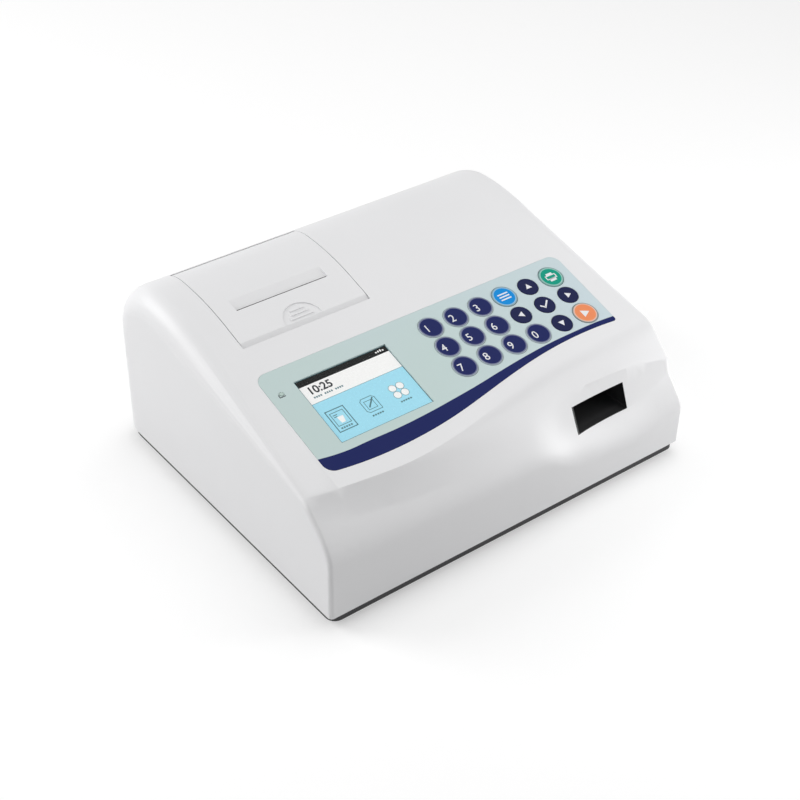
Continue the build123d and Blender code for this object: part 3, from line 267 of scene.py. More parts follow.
def panel_finish():
    """The printed panel: a pale ground that drifts to blue, and the dark wave under it."""
    made = film("panel_print", TEAL)
    u, v = made.slope_place()
    ground = made.mix((made.noise(9.0, 1.0) + u / 700).step(0.35, 0.95),
                      (*TEAL, 1.0), (*TEAL_BLUE, 1.0))
    curve = made.tree.nodes.new("ShaderNodeFloatCurve")
    points = curve.mapping.curves[0].points
    span = CASE_WIDTH
    for u0, v0 in WAVE_TOP[1:-1]:
        points.new(u0 / span, v0 / span)
    points[0].location = (WAVE_TOP[0][0] / span, WAVE_TOP[0][1] / span)
    points[-1].location = (WAVE_TOP[-1][0] / span, WAVE_TOP[-1][1] / span)
    curve.mapping.update()
    made.feed(curve.inputs["Value"], u / span)
    edge = Signal(made, curve.outputs[0]) * span
    wave = (edge - v).step(-0.06, 0.06)
    made.set("Base Color", made.mix(wave, ground, (*NAVY, 1.0)))
    return made


def key_finish(name, colour, ring_print_and_shade, rim_print_and_highlight):
    """A key's printed colour in the middle, then two bands around it, partly print and partly
    painted shade and painted highlight where the film bends.
    """
    made = film(name, colour, 0.36)
    u, v = made.slope_place()
    middle = 20.5               # whole cells keep the share positive, the half centres the key
    du = ((u - KEY_FIRST_U) / KEY_PITCH_U + middle).fraction() - 0.5
    dv = ((v - KEY_FIRST_V) / KEY_PITCH_V + middle).fraction() - 0.5
    radius = ((du * KEY_PITCH_U) ** 2.0 + (dv * KEY_PITCH_V) ** 2.0) ** 0.5
    ring_end = KEY_DISC + RING_WIDTH
    # the two bands around the disc: partly print, partly painted shade and painted highlight
    # where the film bends
    outer = made.mix(radius.step(ring_end - RING_BLUR, ring_end + RING_BLUR),
                     (*ring_print_and_shade, 1.0), (*rim_print_and_highlight, 1.0))
    made.set("Base Color", made.mix(radius.step(KEY_DISC - INK_BLUR, KEY_DISC + INK_BLUR),
                                    made.colour, outer))
    return made


def board_finish():
    """Solder mask over faint tracks."""
    made = Finish("circuit_board", (0.02, 0.17, 0.08), 0.32)
    tracks = made.add("ShaderNodeTexBrick", None,
                      {"Vector": made.place, "Scale": 90.0, "Mortar Size": 0.03}, 1)
    made.set("Base Color", made.mix(tracks.step(0.2, 0.8), made.colour, (0.06, 0.30, 0.14, 1.0)))
    made.bump(tracks, 0.00003, 0.5)
    return made


def case_finish():
    """White moulding, with painted shade: black on the strip port's walls and its left lip."""
    made = moulded("white_case", WHITE, 0.42)
    x, y, z = made.x * 1000, made.y * 1000, made.z * 1000
    # painted shade: the port's walls and the 1.1 mm lip at its left coloured black
    port_shade = ((x > PORT_LEFT) * (x < PORT_RIGHT) * (z > PORT_BOTTOM) * (z < PORT_TOP)
              * (y < PORT_REAR))
    plain = made.shader.inputs["Base Color"].links[0].from_socket
    made.set("Base Color", made.mix(port_shade, Signal(made, plain), (*PORT_SHADE_BLACK, 1.0)))
    return made


white_case = case_finish()
white_door = moulded("white_door", WHITE, 0.42)
black_base = moulded("black_base", (0.012, 0.012, 0.014), 0.5)
black_mould = moulded("black_mould", (0.008, 0.008, 0.009), 0.6)
grey_mould = moulded("grey_mould", (0.10, 0.105, 0.11), 0.5)
tray_white = moulded("tray_white", (0.75, 0.75, 0.74), 0.45)
gear_plastic = moulded("gear_plastic", (0.72, 0.70, 0.64), 0.5)
foot_rubber = moulded("foot_rubber", (0.015, 0.015, 0.015), 0.8, 700.0, 0.00004)
platen_rubber = moulded("platen_rubber", (0.02, 0.02, 0.022), 0.7, 1200.0, 0.00002)
chip_black = moulded("chip_black", (0.015, 0.015, 0.016), 0.55)
card_core = moulded("card_core", (0.42, 0.34, 0.24), 0.8, 500.0, 0.00004, 0.15)
paper = moulded("paper", (0.82, 0.82, 0.80), 0.6, 900.0, 0.00001, 0.03)
screw_steel = sheet_metal("screw_steel", (0.55, 0.55, 0.56), 0.32)
frame_steel = sheet_metal("frame_steel", (0.62, 0.63, 0.64), 0.35)
motor_steel = sheet_metal("motor_steel", (0.42, 0.42, 0.44), 0.38)
head_ceramic = moulded("head_ceramic", (0.62, 0.58, 0.50), 0.2)
white_tile = moulded("white_tile", (0.88, 0.88, 0.88), 0.15)
display_frame = moulded("display", (0.03, 0.035, 0.04), 0.3)
contact_film = film("contact_film", (0.42, 0.44, 0.36))
spacer_film = film("spacer_film", (0.55, 0.56, 0.54))
lamp_lens = moulded("lamp_lens", (0.42, 0.55, 0.50), 0.25)
circuit_board = board_finish()
panel_print = panel_finish()
# each key's disc, then two bands around it, partly print and partly painted shade and painted
# highlight
navy_key = key_finish("navy_key", NAVY, (0.17, 0.19, 0.30), (0.46, 0.53, 0.58))
navy_arrow_key = film("navy_arrow_key", (0.008, 0.012, 0.065), 0.36)
blue_key = key_finish("blue_key", (0.004, 0.27, 0.72), (0.30, 0.52, 0.68), (0.25, 0.36, 0.40))
green_key = key_finish("green_key", (0.004, 0.32, 0.22), (0.32, 0.58, 0.52), (0.20, 0.34, 0.33))
orange_key = key_finish("orange_key", (0.86, 0.28, 0.12), (0.80, 0.52, 0.42), (0.28, 0.33, 0.32))
clear_window = Finish("clear_window", (0.5, 0.52, 0.54), 0.05, Alpha=0.02,
                      Specular_IOR_Level=0.15)
clear_window.set("Roughness", 0.05 + clear_window.noise(80.0) * 0.03)
white_ink = ink("white_ink", (0.85, 0.86, 0.88))
dark_ink = ink("dark_ink", (0.03, 0.035, 0.04))
screen_black = ink("screen_black", (0.006, 0.007, 0.0065), 0.6)
screen_white = ink("screen_white", (0.84, 0.84, 0.83), 0.5, 0.22)
screen_blue = ink("screen_blue", (0.36, 0.72, 0.86), 0.5, 0.14)
screen_line = ink("screen_line", (0.10, 0.22, 0.25), 0.5)
gold_contact = sheet_metal("gold_contact", (0.80, 0.58, 0.25), 0.25)

CAD_FINISHES = {
    "top_cover": white_case, "base_tray": black_base, "rubber_feet": foot_rubber,
    "case_screws": screw_steel, "membrane_overlay": panel_print, "keypad_spacer": spacer_film,
    "keypad_circuit": contact_film, "display_window": clear_window,
    "display_module": display_frame, "display_board": circuit_board, "status_lamp": lamp_lens,
    "printer_door": white_door, "door_hinge_pins": screw_steel, "paper_bay": grey_mould,
    "roll_spindle": grey_mould, "roll_core": card_core, "paper_roll": paper,
    "printer_frame": frame_steel, "print_head": head_ceramic, "platen_roller": platen_rubber,
    "platen_gear": gear_plastic, "idler_gear": gear_plastic, "feed_pinion": gear_plastic,
    "feed_motor": motor_steel, "port_sleeve": black_mould, "tray_guide": grey_mould,
    "strip_tray": tray_white, "calibration_tile": white_tile, "tray_rack": gear_plastic,
    "tray_pinion": gear_plastic, "tray_motor": motor_steel, "optics_head": black_mould,
    "optics_bracket": frame_steel, "main_board": circuit_board, "board_parts": chip_black,
    "board_screws": screw_steel, "rear_panel": black_mould, "rear_screws": screw_steel,
    "switch_housing": black_mould, "power_rocker": black_mould, "power_jack": black_mould,
    "serial_port": frame_steel,
}
KEY_ROWS = [
    ["key_1", "key_2", "key_3", "menu_key", "up_key", "print_key"],
    ["key_4", "key_5", "key_6", "left_key", "ok_key", "right_key"],
    ["key_7", "key_8", "key_9", "key_0", "down_key", "start_key"],
]
COLOURED = {"menu_key": blue_key, "print_key": green_key, "start_key": orange_key}
for names in KEY_ROWS:
    for name in names:
        plain = navy_key if name[-1].isdigit() else navy_arrow_key
        CAD_FINISHES[name] = COLOURED.get(name, plain)
for node, finish in CAD_FINISHES.items():
    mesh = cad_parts[node].data
    mesh.materials.clear()
    mesh.materials.append(finish.material)


# ---------------------------------------------------------------- making pieces
def new_piece(name, vertices, faces, finish, body):
    mesh = bpy.data.meshes.new(name)
    mesh.from_pydata([tuple(v) for v in vertices], [], faces)
    mesh.update()
    mesh.materials.append(finish.material)
    piece = bpy.data.objects.new(name, mesh)
    bpy.context.scene.collection.objects.link(piece)
    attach(piece, body)
    return piece


def plates(name, outlines, low, high, finish, body, place=on_slope):
    """Thin closed plates with the given outlines, each a list of (u, v) turning left."""
    vertices, faces = [], []
    for outline in outlines:
        first, count = len(vertices), len(outline)
        vertices += [place(u, v, low) for u, v in outline]
        vertices += [place(u, v, high) for u, v in outline]
        faces.append([first + i for i in reversed(range(count))])
        faces.append([first + count + i for i in range(count)])
        for i in range(count):
            j = (i + 1) % count
            faces.append([first + i, first + j, first + count + j, first + count + i])
    return new_piece(name, vertices, faces, finish, body)


def bar(u0, u1, v0, v1):
    return [(u0, v0), (u1, v0), (u1, v1), (u0, v1)]


def disc(u, v, radius, count=28):
    angles = [math.tau * i / count for i in range(count)]
    return [(u + radius * math.cos(angle), v + radius * math.sin(angle)) for angle in angles]


def outline_of(loop, thickness):
    """Four-cornered strips along each edge of a closed loop."""
    strips = []
    count = len(loop)
    for i in range(count):
        (u0, v0), (u1, v1) = loop[i], loop[(i + 1) % count]
        length = math.hypot(u1 - u0, v1 - v0)
        du, dv = (u1 - u0) / length, (v1 - v0) / length
        half = thickness / 2
        strips.append([(u0 - du * half + dv * half, v0 - dv * half - du * half),
                       (u1 + du * half + dv * half, v1 + dv * half - du * half),
                       (u1 + du * half - dv * half, v1 + dv * half + du * half),
                       (u0 - du * half - dv * half, v0 - dv * half + du * half)])
    return strips


def line(u0, v0, u1, v1, thickness):
    return outline_of([(u0, v0), (u1, v1)], thickness)[:1]


def lettering(name, words, u, v, height, level, finish, body, squeeze, weight):
    """Plain numerals laid on the slope, centred on (u, v)."""
    size_to_height, half_thickness = 1.4, 0.012
    curve = bpy.data.curves.new(name + "_line", "FONT")
    curve.body, curve.align_x, curve.align_y = words, "CENTER", "CENTER"
    curve.size, curve.extrude, curve.offset = height * size_to_height, half_thickness, weight
    curve.resolution_u = 6
    writer = bpy.data.objects.new(name + "_line", curve)
    bpy.context.scene.collection.objects.link(writer)
    evaluated = writer.evaluated_get(bpy.context.evaluated_depsgraph_get())
    mesh = bpy.data.meshes.new_from_object(evaluated)
    mesh.name = name
    bpy.data.objects.remove(writer)
    for vertex in mesh.vertices:
        x, y, z = vertex.co
        vertex.co = on_slope(u + x * squeeze, v + y, level + z)
    mesh.materials.clear()
    mesh.materials.append(finish.material)
    piece = bpy.data.objects.new(name, mesh)
    bpy.context.scene.collection.objects.link(piece)
    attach(piece, body)
    return piece


MERGE_DISTANCE = 0.000002                   # metres
SHALLOW_FOLD = math.radians(14)             # a fold up to this is shaded round
FLAT_SHARE = 60                             # how much the larger faces lead the shading


def smoothed(name, node, finish, body):
    """A CAD node's mesh joined up, shaded smooth over its shallow folds."""
    form = bmesh.new()
    form.from_mesh(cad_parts[node].data)
    bmesh.ops.remove_doubles(form, verts=form.verts, dist=MERGE_DISTANCE)
    joined_up = bpy.data.meshes.new(name + "_raw")
    form.to_mesh(joined_up)
    form.free()
    joined_up.shade_smooth()
    joined_up.set_sharp_from_angle(angle=SHALLOW_FOLD)
    maker = bpy.data.objects.new(name + "_raw", joined_up)
    bpy.context.scene.collection.objects.link(maker)
    weighted = maker.modifiers.new("weighted", "WEIGHTED_NORMAL")
    weighted.weight, weighted.keep_sharp = FLAT_SHARE, True
    mesh = bpy.data.meshes.new_from_object(maker.evaluated_get(
        bpy.context.evaluated_depsgraph_get()))
    bpy.data.objects.remove(maker)
    mesh.name = name
    mesh.materials.clear()
    mesh.materials.append(finish.material)
    piece = bpy.data.objects.new(name, mesh)
    bpy.context.scene.collection.objects.link(piece)
    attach(piece, body)
    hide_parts(node)
    return piece


smoothed("cover_moulding", "top_cover", white_case, "housing")
smoothed("door_moulding", "printer_door", white_door, "printer_door")


def rounded(inset, side_inset, front, rear, steps=8):
    """Outline of the case seen from above, pulled in, with rounded corners, turning left."""
    x0, x1 = side_inset, CASE_WIDTH - side_inset
    y0, y1 = inset, CASE_DEPTH - inset
    corners = ((x1 - front, y0 + front, front, -90), (x1 - rear, y1 - rear, rear, 0),
               (x0 + rear, y1 - rear, rear, 90), (x0 + front, y0 + front, front, 180))
    loop = []
    for x, y, radius, start in corners:
        for i in range(steps + 1):
            angle = math.radians(start + 90 * i / steps)
            loop.append((x + radius * math.cos(angle), y + radius * math.sin(angle)))
    return loop


def skirt(name, outer, inner, low, high, finish, body):
    """Closed band between two outlines of as many points."""
    vertices = [in_case(x, y, z) for loop in (outer, inner) for z in (low, high) for x, y in loop]
    count = len(outer)
    outer_low, outer_high, inner_low, inner_high = (count * k for k in range(4))
    faces = []
    for i in range(count):
        j = (i + 1) % count
        faces += [[outer_low + i, outer_low + j, outer_high + j, outer_high + i],
                  [inner_low + j, inner_low + i, inner_high + i, inner_high + j],
                  [outer_high + i, outer_high + j, inner_high + j, inner_high + i],
                  [inner_low + i, inner_low + j, outer_low + j, outer_low + i]]
    return new_piece(name, vertices, faces, finish, body)


# black lip of the base under the cover's edge: insets at front and sides, then corner radii
SKIRT_OUTER = rounded(0.8, 1.6, 6.0, 14.0)
SKIRT_INNER = rounded(2.7, 2.75, 2.4, 12.0)
SKIRT_BOTTOM, SKIRT_TOP = -4.2, -0.15
skirt("base_skirt", SKIRT_OUTER, SKIRT_INNER, SKIRT_BOTTOM, SKIRT_TOP,
      black_base, "housing")

# painted shade: a black plate that fills the paper slot, under the door's outer skin
DOOR_MIDDLE, SLOT_HALF, SLOT_END_GAP = 69.25, 30.0, 0.02
SLOT_SHADE_FRONT, SLOT_SHADE_REAR = 145.75, 147.95
SLOT_SHADE_LOW, SLOT_SHADE_HIGH = -2.2, -1.9
# black plate put in the slot as painted shade
plates("slot_shade_plate", [bar(DOOR_MIDDLE - SLOT_HALF + SLOT_END_GAP,
                           DOOR_MIDDLE + SLOT_HALF - SLOT_END_GAP, SLOT_SHADE_FRONT, SLOT_SHADE_REAR)],
       SLOT_SHADE_LOW, SLOT_SHADE_HIGH, black_mould, "printer_door")

# ---------------------------------------------------------------- key legends
LEGEND_LOW, LEGEND_HIGH = KEY_FACE - 0.02, KEY_FACE + 0.015
NUMERAL_HEIGHT, NUMERAL_LIFT = 5.2, 0.004
NUMERAL_LEFT, NUMERAL_DOWN = 2.6, 0.2       # from the key's middle
NUMERAL_SQUEEZE, NUMERAL_WEIGHT = 0.95, 0.03


def triangle(u, v, reach, quarter_turns):
    """Arrow head; no turn points up the slope."""
    shape = [(-reach * 0.85, -reach * 0.6), (reach * 0.85, -reach * 0.6), (0.0, reach * 0.9)]
    angle = quarter_turns * math.pi / 2
    return [(u + x * math.cos(angle) - y * math.sin(angle),
             v + x * math.sin(angle) + y * math.cos(angle)) for x, y in shape]


def key_symbol(name, u, v):
    """Outlines of a key's printed symbol."""
    turns = {"up_key": 0, "left_key": 1, "down_key": 2, "right_key": 3}
    arrow_reach, stroke, outline = 2.4, 1.0, 0.7
    if name in turns:
        return [triangle(u, v, arrow_reach, turns[name])]
    if name == "ok_key":
        return (line(u - 2.9, v + 0.1, u - 0.9, v - 1.8, stroke)
                + line(u - 1.1, v - 1.9, u + 2.9, v + 1.9, stroke))
    if name == "menu_key":
        return [bar(u - 3.6, u + 3.6, v + d - 0.45, v + d + 0.45) for d in (-2.0, 0.0, 2.0)]
    if name == "print_key":
        body = outline_of(bar(u - 3.4, u + 3.4, v - 1.3, v + 1.3), outline)
        paper_in = bar(u - 2.2, u + 2.2, v + 1.6, v + 3.0)
        paper_out = bar(u - 2.2, u + 2.2, v - 3.2, v - 0.9)
        return body + [paper_in, paper_out]
    return [[(u - 2.2, v - 2.7), (u + 3.0, v), (u - 2.2, v + 2.7)]]


for row, names in enumerate(KEY_ROWS):
    for column, name in enumerate(names):
        u = KEY_FIRST_U + column * KEY_PITCH_U
        v = KEY_FIRST_V - row * KEY_PITCH_V
        if name[-1].isdigit():
            lettering(name + "_numeral", name[-1], u - NUMERAL_LEFT, v - NUMERAL_DOWN,
                      NUMERAL_HEIGHT, KEY_FACE + NUMERAL_LIFT, white_ink, name,
                      NUMERAL_SQUEEZE, NUMERAL_WEIGHT)
        else:
            plates(name + "_symbol", key_symbol(name, u, v), LEGEND_LOW, LEGEND_HIGH,
                   white_ink, name)

# ---------------------------------------------------------------- picture on the screen
SCREEN_GAP = 0.35                           # between the picture and the window's edge
LEFT, BOTTOM = (edge + SCREEN_GAP for edge in WINDOW[:2])
RIGHT, TOP = (edge - SCREEN_GAP for edge in WINDOW[2:])
LAYER_STEP, LAYER_THICKNESS = 0.03, 0.02
FRAME_LINE, PAGE_LINE, THIN_LINE, HAIR_LINE = 0.55, 0.35, 0.3, 0.18


def screen_plates(name, outlines, layer, finish):
    level = SCREEN_LEVEL + LAYER_STEP * layer
    return plates(name, outlines, level, level + LAYER_THICKNESS, finish, "housing")


screen_plates("screen_field", [bar(LEFT, RIGHT, BOTTOM, HEADER_BOTTOM)], 0, screen_blue)
screen_plates("screen_header", [bar(LEFT, RIGHT, HEADER_BOTTOM, BAR_BOTTOM)], 0, screen_white)
screen_plates("screen_bar", [bar(LEFT, RIGHT, BAR_BOTTOM, TOP)], 0, screen_black)
screen_plates("screen_edge", outline_of(bar(LEFT, RIGHT, BOTTOM, TOP), PAGE_LINE)
              + line(LEFT, HEADER_BOTTOM, RIGHT, HEADER_BOTTOM, HAIR_LINE), 1, screen_line)
status = [bar(90.0 + 1.5 * i, 90.9 + 1.5 * i, 86.2, 87.1 + 0.3 * (i % 3)) for i in range(4)]
screen_plates("screen_status", status, 1, screen_white)
CLOCK_U, CLOCK_V, CLOCK_HEIGHT, CLOCK_LIFT = 49.4, 80.3, 5.0, 0.05
CLOCK_SQUEEZE, CLOCK_WEIGHT = 0.98, 0.16
lettering("screen_clock", "10:25", CLOCK_U, CLOCK_V, CLOCK_HEIGHT, SCREEN_LEVEL + CLOCK_LIFT,
          dark_ink, "housing", CLOCK_SQUEEZE, CLOCK_WEIGHT)
dates = [bar(42.6 + 1.35 * i, 43.5 + 1.35 * i, 75.2, 76.3) for i in range(14) if i not in (4, 9)]
screen_plates("screen_date", dates, 1, screen_line)


def caption(u, v):
    """Neutral marks where a caption would be."""
    return [bar(u - 3.6 + 1.5 * i, u - 2.6 + 1.5 * i, v - 0.5, v + 0.5) for i in range(5)]


# results page with a vessel, framed as chosen
page_u, page_v = 47.4, 57.6
chosen = outline_of(bar(page_u - 5.6, page_u + 5.6, page_v - 7.2, page_v + 7.2), FRAME_LINE)
chosen += outline_of(bar(page_u - 4.0, page_u + 4.0, page_v - 3.6, page_v + 5.2), PAGE_LINE)
chosen += [bar(page_u - 3.0, page_u - 0.4, page_v + 3.2, page_v + 3.7),
           bar(page_u - 3.0, page_u - 1.0, page_v + 2.0, page_v + 2.5)]
chosen += caption(page_u, page_v - 5.4)
vessel = [[(page_u - 1.1, page_v - 2.4), (page_u + 1.3, page_v - 2.4),
           (page_u + 2.2, page_v + 1.8), (page_u - 1.6, page_v + 1.8)]]
# page with a pencil and three cut corners
note_u, note_v = 66.9, 58.6
half_u, half_v, cut_u, cut_v = 4.6, 4.8, 3.2, 3.4
page = [(note_u + du, note_v + dv) for du, dv in (
    (-half_u, -cut_v), (-cut_u, -half_v), (half_u, -half_v), (half_u, cut_v),
    (cut_u, half_v), (-cut_u, half_v), (-half_u, cut_v))]
note = outline_of(page, PAGE_LINE)
note += outline_of(bar(note_u - 2.8, note_u + 2.6, note_v - 3.0, note_v + 2.6), THIN_LINE)
note += line(note_u - 1.4, note_v - 1.4, note_u + 3.2, note_v + 3.4, 0.8)
note += caption(note_u, note_v - 7.2)
# four round tiles, each with its ring
tiles_u, tiles_v, tile_step, tile_radius = 86.0, 59.4, 2.45, 2.15
ring_radius, ring_line, ring_corners = 2.3, 0.2, 20
centres = [(tiles_u + du, tiles_v + dv) for du in (-tile_step, tile_step)
           for dv in (-tile_step, tile_step)]
tiles = [disc(u, v, tile_radius) for u, v in centres]
rings = []
for u, v in centres:
    rings += outline_of(disc(u, v, ring_radius, ring_corners), ring_line)
rings += caption(tiles_u, tiles_v - 7.2)
screen_plates("screen_icons", chosen + note + rings, 1, screen_line)
screen_plates("screen_tiles", tiles + vessel, 2, screen_white)

# lamp's printed mark
mark_u, mark_v = 28.5, 85.4
mark_stroke = 0.5
plates("lamp_mark", line(mark_u - 2.0, mark_v - 1.9, mark_u + 1.2, mark_v - 1.9, mark_stroke)
       + line(mark_u - 2.0, mark_v - 1.9, mark_u - 2.0, mark_v - 0.2, mark_stroke),
       PRINT_LEVEL - 0.02, PRINT_LEVEL + 0.012, dark_ink, "housing")


# ---------------------------------------------------------------- repeated small pieces
def row_tree():
    """Node tree: a grid of round or square pegs, made real and given one finish."""
    tree = bpy.data.node_groups.new("peg_rows", "GeometryNodeTree")
    for label, kind, value in (("Columns", "NodeSocketInt", 2), ("Rows", "NodeSocketInt", 1),
                               ("Column Pitch", "NodeSocketFloat", 0.002),
                               ("Row Pitch", "NodeSocketFloat", 0.002),
                               ("Radius", "NodeSocketFloat", 0.0005),
                               ("Height", "NodeSocketFloat", 0.003),
                               ("Sides", "NodeSocketInt", 12)):
        socket = tree.interface.new_socket(label, in_out="INPUT", socket_type=kind)
        socket.default_value = value
    tree.interface.new_socket("Finish", in_out="INPUT", socket_type="NodeSocketMaterial")
    tree.interface.new_socket("Geometry", in_out="OUTPUT", socket_type="NodeSocketGeometry")
    nodes, links = tree.nodes, tree.links
    given, result = nodes.new("NodeGroupInput"), nodes.new("NodeGroupOutput")

    def reach(a, b):
        """One less than a, times b: the length of a row of a pegs."""
        less = nodes.new("ShaderNodeMath")
        less.operation = "SUBTRACT"
        links.new(a, less.inputs[0])
        less.inputs[1].default_value = 1.0
        times = nodes.new("ShaderNodeMath")
        times.operation = "MULTIPLY"
        links.new(less.outputs[0], times.inputs[0])
        links.new(b, times.inputs[1])
        return times.outputs[0]

    grid = nodes.new("GeometryNodeMeshGrid")
    links.new(reach(given.outputs["Columns"], given.outputs["Column Pitch"]),
              grid.inputs["Size X"])
    links.new(reach(given.outputs["Rows"], given.outputs["Row Pitch"]), grid.inputs["Size Y"])
    links.new(given.outputs["Columns"], grid.inputs["Vertices X"])
    links.new(given.outputs["Rows"], grid.inputs["Vertices Y"])
    points = nodes.new("GeometryNodeMeshToPoints")
    links.new(grid.outputs["Mesh"], points.inputs["Mesh"])
    peg = nodes.new("GeometryNodeMeshCylinder")
    links.new(given.outputs["Sides"], peg.inputs["Vertices"])
    links.new(given.outputs["Radius"], peg.inputs["Radius"])
    links.new(given.outputs["Height"], peg.inputs["Depth"])
    spread = nodes.new("GeometryNodeInstanceOnPoints")
    links.new(points.outputs["Points"], spread.inputs["Points"])
    links.new(peg.outputs["Mesh"], spread.inputs["Instance"])
    real = nodes.new("GeometryNodeRealizeInstances")
    links.new(spread.outputs["Instances"], real.inputs[0])
    finish = nodes.new("GeometryNodeSetMaterial")
    links.new(real.outputs[0], finish.inputs["Geometry"])
    links.new(given.outputs["Finish"], finish.inputs["Material"])
    links.new(finish.outputs[0], result.inputs[0])
    return tree


PEGS = row_tree()


def peg_grid(sizes, finish, place):
    """Mesh of one grid of pegs, turned and put in place."""
    empty = bpy.data.meshes.new("peg_seed")
    maker = bpy.data.objects.new("peg_seed", empty)
    bpy.context.scene.collection.objects.link(maker)
    modifier = maker.modifiers.new("pegs", "NODES")
    modifier.node_group = PEGS
    values = dict(sizes, Finish=finish.material)
    for item in PEGS.interface.items_tree:
        if item.in_out == "INPUT" and item.name in values:
            modifier[item.identifier] = values[item.name]
    evaluated = maker.evaluated_get(bpy.context.evaluated_depsgraph_get())
    mesh = bpy.data.meshes.new_from_object(evaluated)
    mesh.transform(place)
    bpy.data.objects.remove(maker)
    return mesh


def joined(name, meshes, finish, body):
    vertices, faces = [], []
    for mesh in meshes:
        first = len(vertices)
        vertices += [v.co.copy() for v in mesh.vertices]
        faces += [[first + i for i in polygon.vertices] for polygon in mesh.polygons]
    return new_piece(name, vertices, faces, finish, body)


def at(x, y, z, turn=Matrix.Identity(4)):
    return Matrix.Translation(in_case(x, y, z)) @ turn


QUARTER_X = Matrix.Rotation(math.pi / 2, 4, "X")
SERIAL_X, REAR_OUTER, REAR_Z = 138.0, 208.35, 33.0
CONTACT_OUT = 5.96                          # middle of the contacts, behind the rear panel
CONTACT_ROWS = ((5, 1.4), (4, -1.4))        # how many, and how high above the middle
contacts = [peg_grid({"Columns": count, "Rows": 1, "Column Pitch": 0.00277, "Row Pitch": 0.002,
                      "Radius": 0.0005, "Height": 0.0001, "Sides": 12}, gold_contact,
                     at(SERIAL_X, REAR_OUTER + CONTACT_OUT, REAR_Z + rise, QUARTER_X))
            for count, rise in CONTACT_ROWS]
joined("serial_contacts", contacts, gold_contact, "housing")

BOARD_LEFT, BOARD_FRONT, BOARD_TOP = 18, 24, 4.6
CHIPS = ((30, 30, 14, 14), (62, 34, 10, 14), (30, 66, 8, 12))   # left, front, width, depth
LEG_PITCH, LEG_SPREAD, LEG_HEIGHT = 1.27, 1.0, 0.6
legs = []
for chip_left, chip_front, width, depth in CHIPS:
    x, y = BOARD_LEFT + chip_left + width / 2, BOARD_FRONT + chip_front + depth / 2
    legs.append(peg_grid({"Columns": 2, "Rows": int(depth / LEG_PITCH) - 1,
                          "Column Pitch": (width + LEG_SPREAD) / 1000,
                          "Row Pitch": LEG_PITCH / 1000, "Radius": 0.00035,
                          "Height": LEG_HEIGHT / 1000, "Sides": 4},
                         frame_steel, at(x, y, BOARD_TOP + LEG_HEIGHT / 2)))
joined("chip_legs", legs, frame_steel, "housing")

# ---------------------------------------------------------------- camera, light, floor
FOCAL_PIXELS, PICTURE_PIXELS, SENSOR = 1528.56, 800, 36.0
CAMERA_PLACE = in_case(-316.1, -456.6, 551.1)
camera_data = bpy.data.cameras.new("photo_camera")
camera_data.sensor_width = SENSOR
camera_data.lens = FOCAL_PIXELS / PICTURE_PIXELS * SENSOR
camera_data.clip_start, camera_data.clip_end = 0.05, 20.0
camera = bpy.data.objects.new("photo_camera", camera_data)
bpy.context.scene.collection.objects.link(camera)
# the camera's own directions, solved from edges of the case
right, down = Vector((0.7932, -0.6089, 0.0143)), Vector((-0.3536, -0.4796, -0.8031))
forward = Vector((0.4958, 0.6319, -0.5957))
spin = Matrix((right, -down, -forward)).transposed().to_4x4()
camera.matrix_world = Matrix.Translation(CAMERA_PLACE) @ spin
bpy.context.scene.camera = camera


def lamp(name, place, target, size, power):
    """Round white soft light that the camera doesn't see; metres and watts."""
    data = bpy.data.lights.new(name, "AREA")
    data.shape, data.size, data.energy = "DISK", size, power
    made = bpy.data.objects.new(name, data)
    bpy.context.scene.collection.objects.link(made)
    made.location = Vector(place)
    made.rotation_euler = (Vector(target) - Vector(place)).to_track_quat("-Z", "Y").to_euler()
    made.visible_camera = False


CASE_MIDDLE, PORT_SIDE = (0, 0, 0.05), (0.09, -0.10, 0.05)
lamp("overhead", (0.5, 0.1, 1.4), CASE_MIDDLE, 1.0, 5.1)
lamp("left_back", (-0.9, 0.9, 0.8), CASE_MIDDLE, 0.8, 9.2)
lamp("left_fill", (-1.3, 0.15, 0.55), CASE_MIDDLE, 0.9, 3.0)
lamp("right_front", (0.36, -0.34, 0.22), PORT_SIDE, 0.22, 0.48)
lamp("right_low", (0.6, -0.35, 0.08), PORT_SIDE, 0.25, 1.3)

def background_rays(tree):
    """1 for the rays that show the background: from the camera, in gloss and through glass."""
    paths = tree.nodes.new("ShaderNodeLightPath")
    total = paths.outputs["Is Camera Ray"]
    for ray in ("Is Glossy Ray", "Is Transmission Ray"):
        either = tree.nodes.new("ShaderNodeMath")
        either.operation = "MAXIMUM"
        tree.links.new(total, either.inputs[0])
        tree.links.new(paths.outputs[ray], either.inputs[1])
        total = either.outputs[0]
    return total


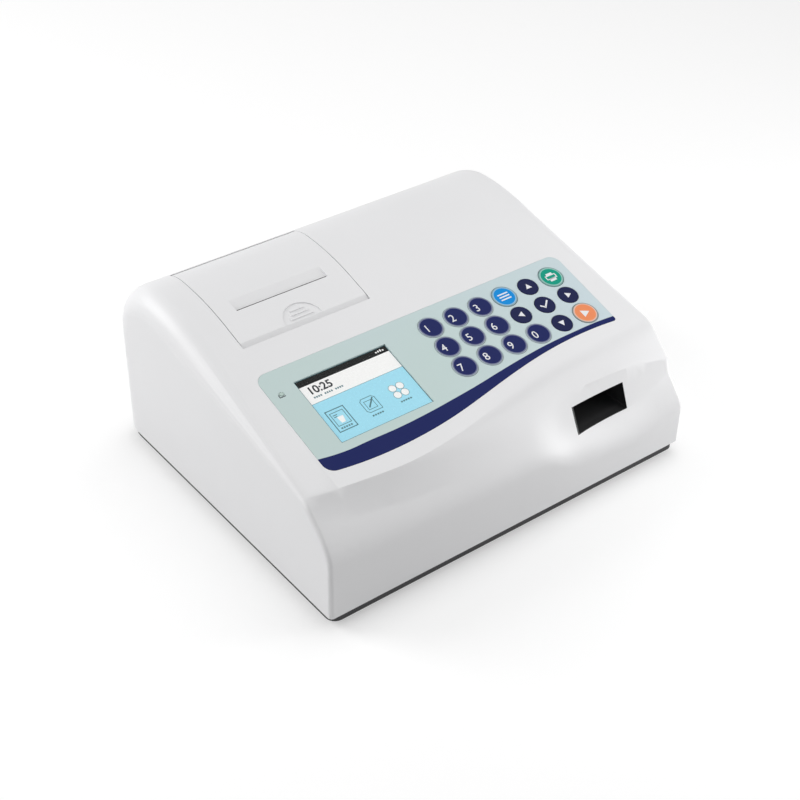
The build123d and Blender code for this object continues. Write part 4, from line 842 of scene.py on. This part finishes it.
world = bpy.data.worlds.new("studio")
bpy.context.scene.world = world
world.use_nodes = True
world_nodes, world_links = world.node_tree.nodes, world.node_tree.links
background = world_nodes["Background"]
ROOM_TONE = 0.43                            # plain light from all around
background.inputs["Color"].default_value = (ROOM_TONE, ROOM_TONE, ROOM_TONE, 1.0)
seen = world_nodes.new("ShaderNodeBackground")
seen.inputs["Color"].default_value = (1.0, 1.0, 1.0, 1.0)
choose = world_nodes.new("ShaderNodeMixShader")
world_links.new(background_rays(world.node_tree), choose.inputs[0])
world_links.new(background.outputs[0], choose.inputs[1])
world_links.new(seen.outputs[0], choose.inputs[2])
world_links.new(choose.outputs[0], world_nodes["World Output"].inputs["Surface"])


def make_floor():
    """Plain floor: paler where it is seen than in the light that it throws back."""
    size, seen_tone, bounce_tone = 6.0, 0.95, 0.55
    glow_strength, glow_share = 1.25, 0.3
    mesh = bpy.data.meshes.new("floor")
    mesh.from_pydata([(-size, -size, 0), (size, -size, 0), (size, size, 0), (-size, size, 0)], [],
                     [(0, 1, 2, 3)])
    floor = bpy.data.objects.new("floor", mesh)
    bpy.context.scene.collection.objects.link(floor)
    material = bpy.data.materials.new("floor_white")
    material.use_nodes = True
    nodes, links = material.node_tree.nodes, material.node_tree.links
    nodes["Principled BSDF"].inputs["Roughness"].default_value = 0.9
    glow = nodes.new("ShaderNodeEmission")
    glow.inputs["Strength"].default_value = glow_strength
    shown = background_rays(material.node_tree)
    tone = nodes.new("ShaderNodeMix")
    tone.data_type = "RGBA"
    tone.inputs[6].default_value = (bounce_tone, bounce_tone, bounce_tone, 1.0)
    tone.inputs[7].default_value = (seen_tone, seen_tone, seen_tone, 1.0)
    links.new(shown, tone.inputs[0])
    links.new(tone.outputs[2], nodes["Principled BSDF"].inputs["Base Color"])
    lit = nodes.new("ShaderNodeMixShader")
    share = nodes.new("ShaderNodeMath")
    share.operation = "MULTIPLY"
    share.inputs[1].default_value = glow_share
    links.new(shown, share.inputs[0])
    links.new(share.outputs[0], lit.inputs[0])
    links.new(nodes["Principled BSDF"].outputs[0], lit.inputs[1])
    links.new(glow.outputs[0], lit.inputs[2])
    links.new(lit.outputs[0], nodes["Material Output"].inputs["Surface"])
    mesh.materials.append(material)


make_floor()
bpy.context.scene.view_settings.view_transform = "Standard"
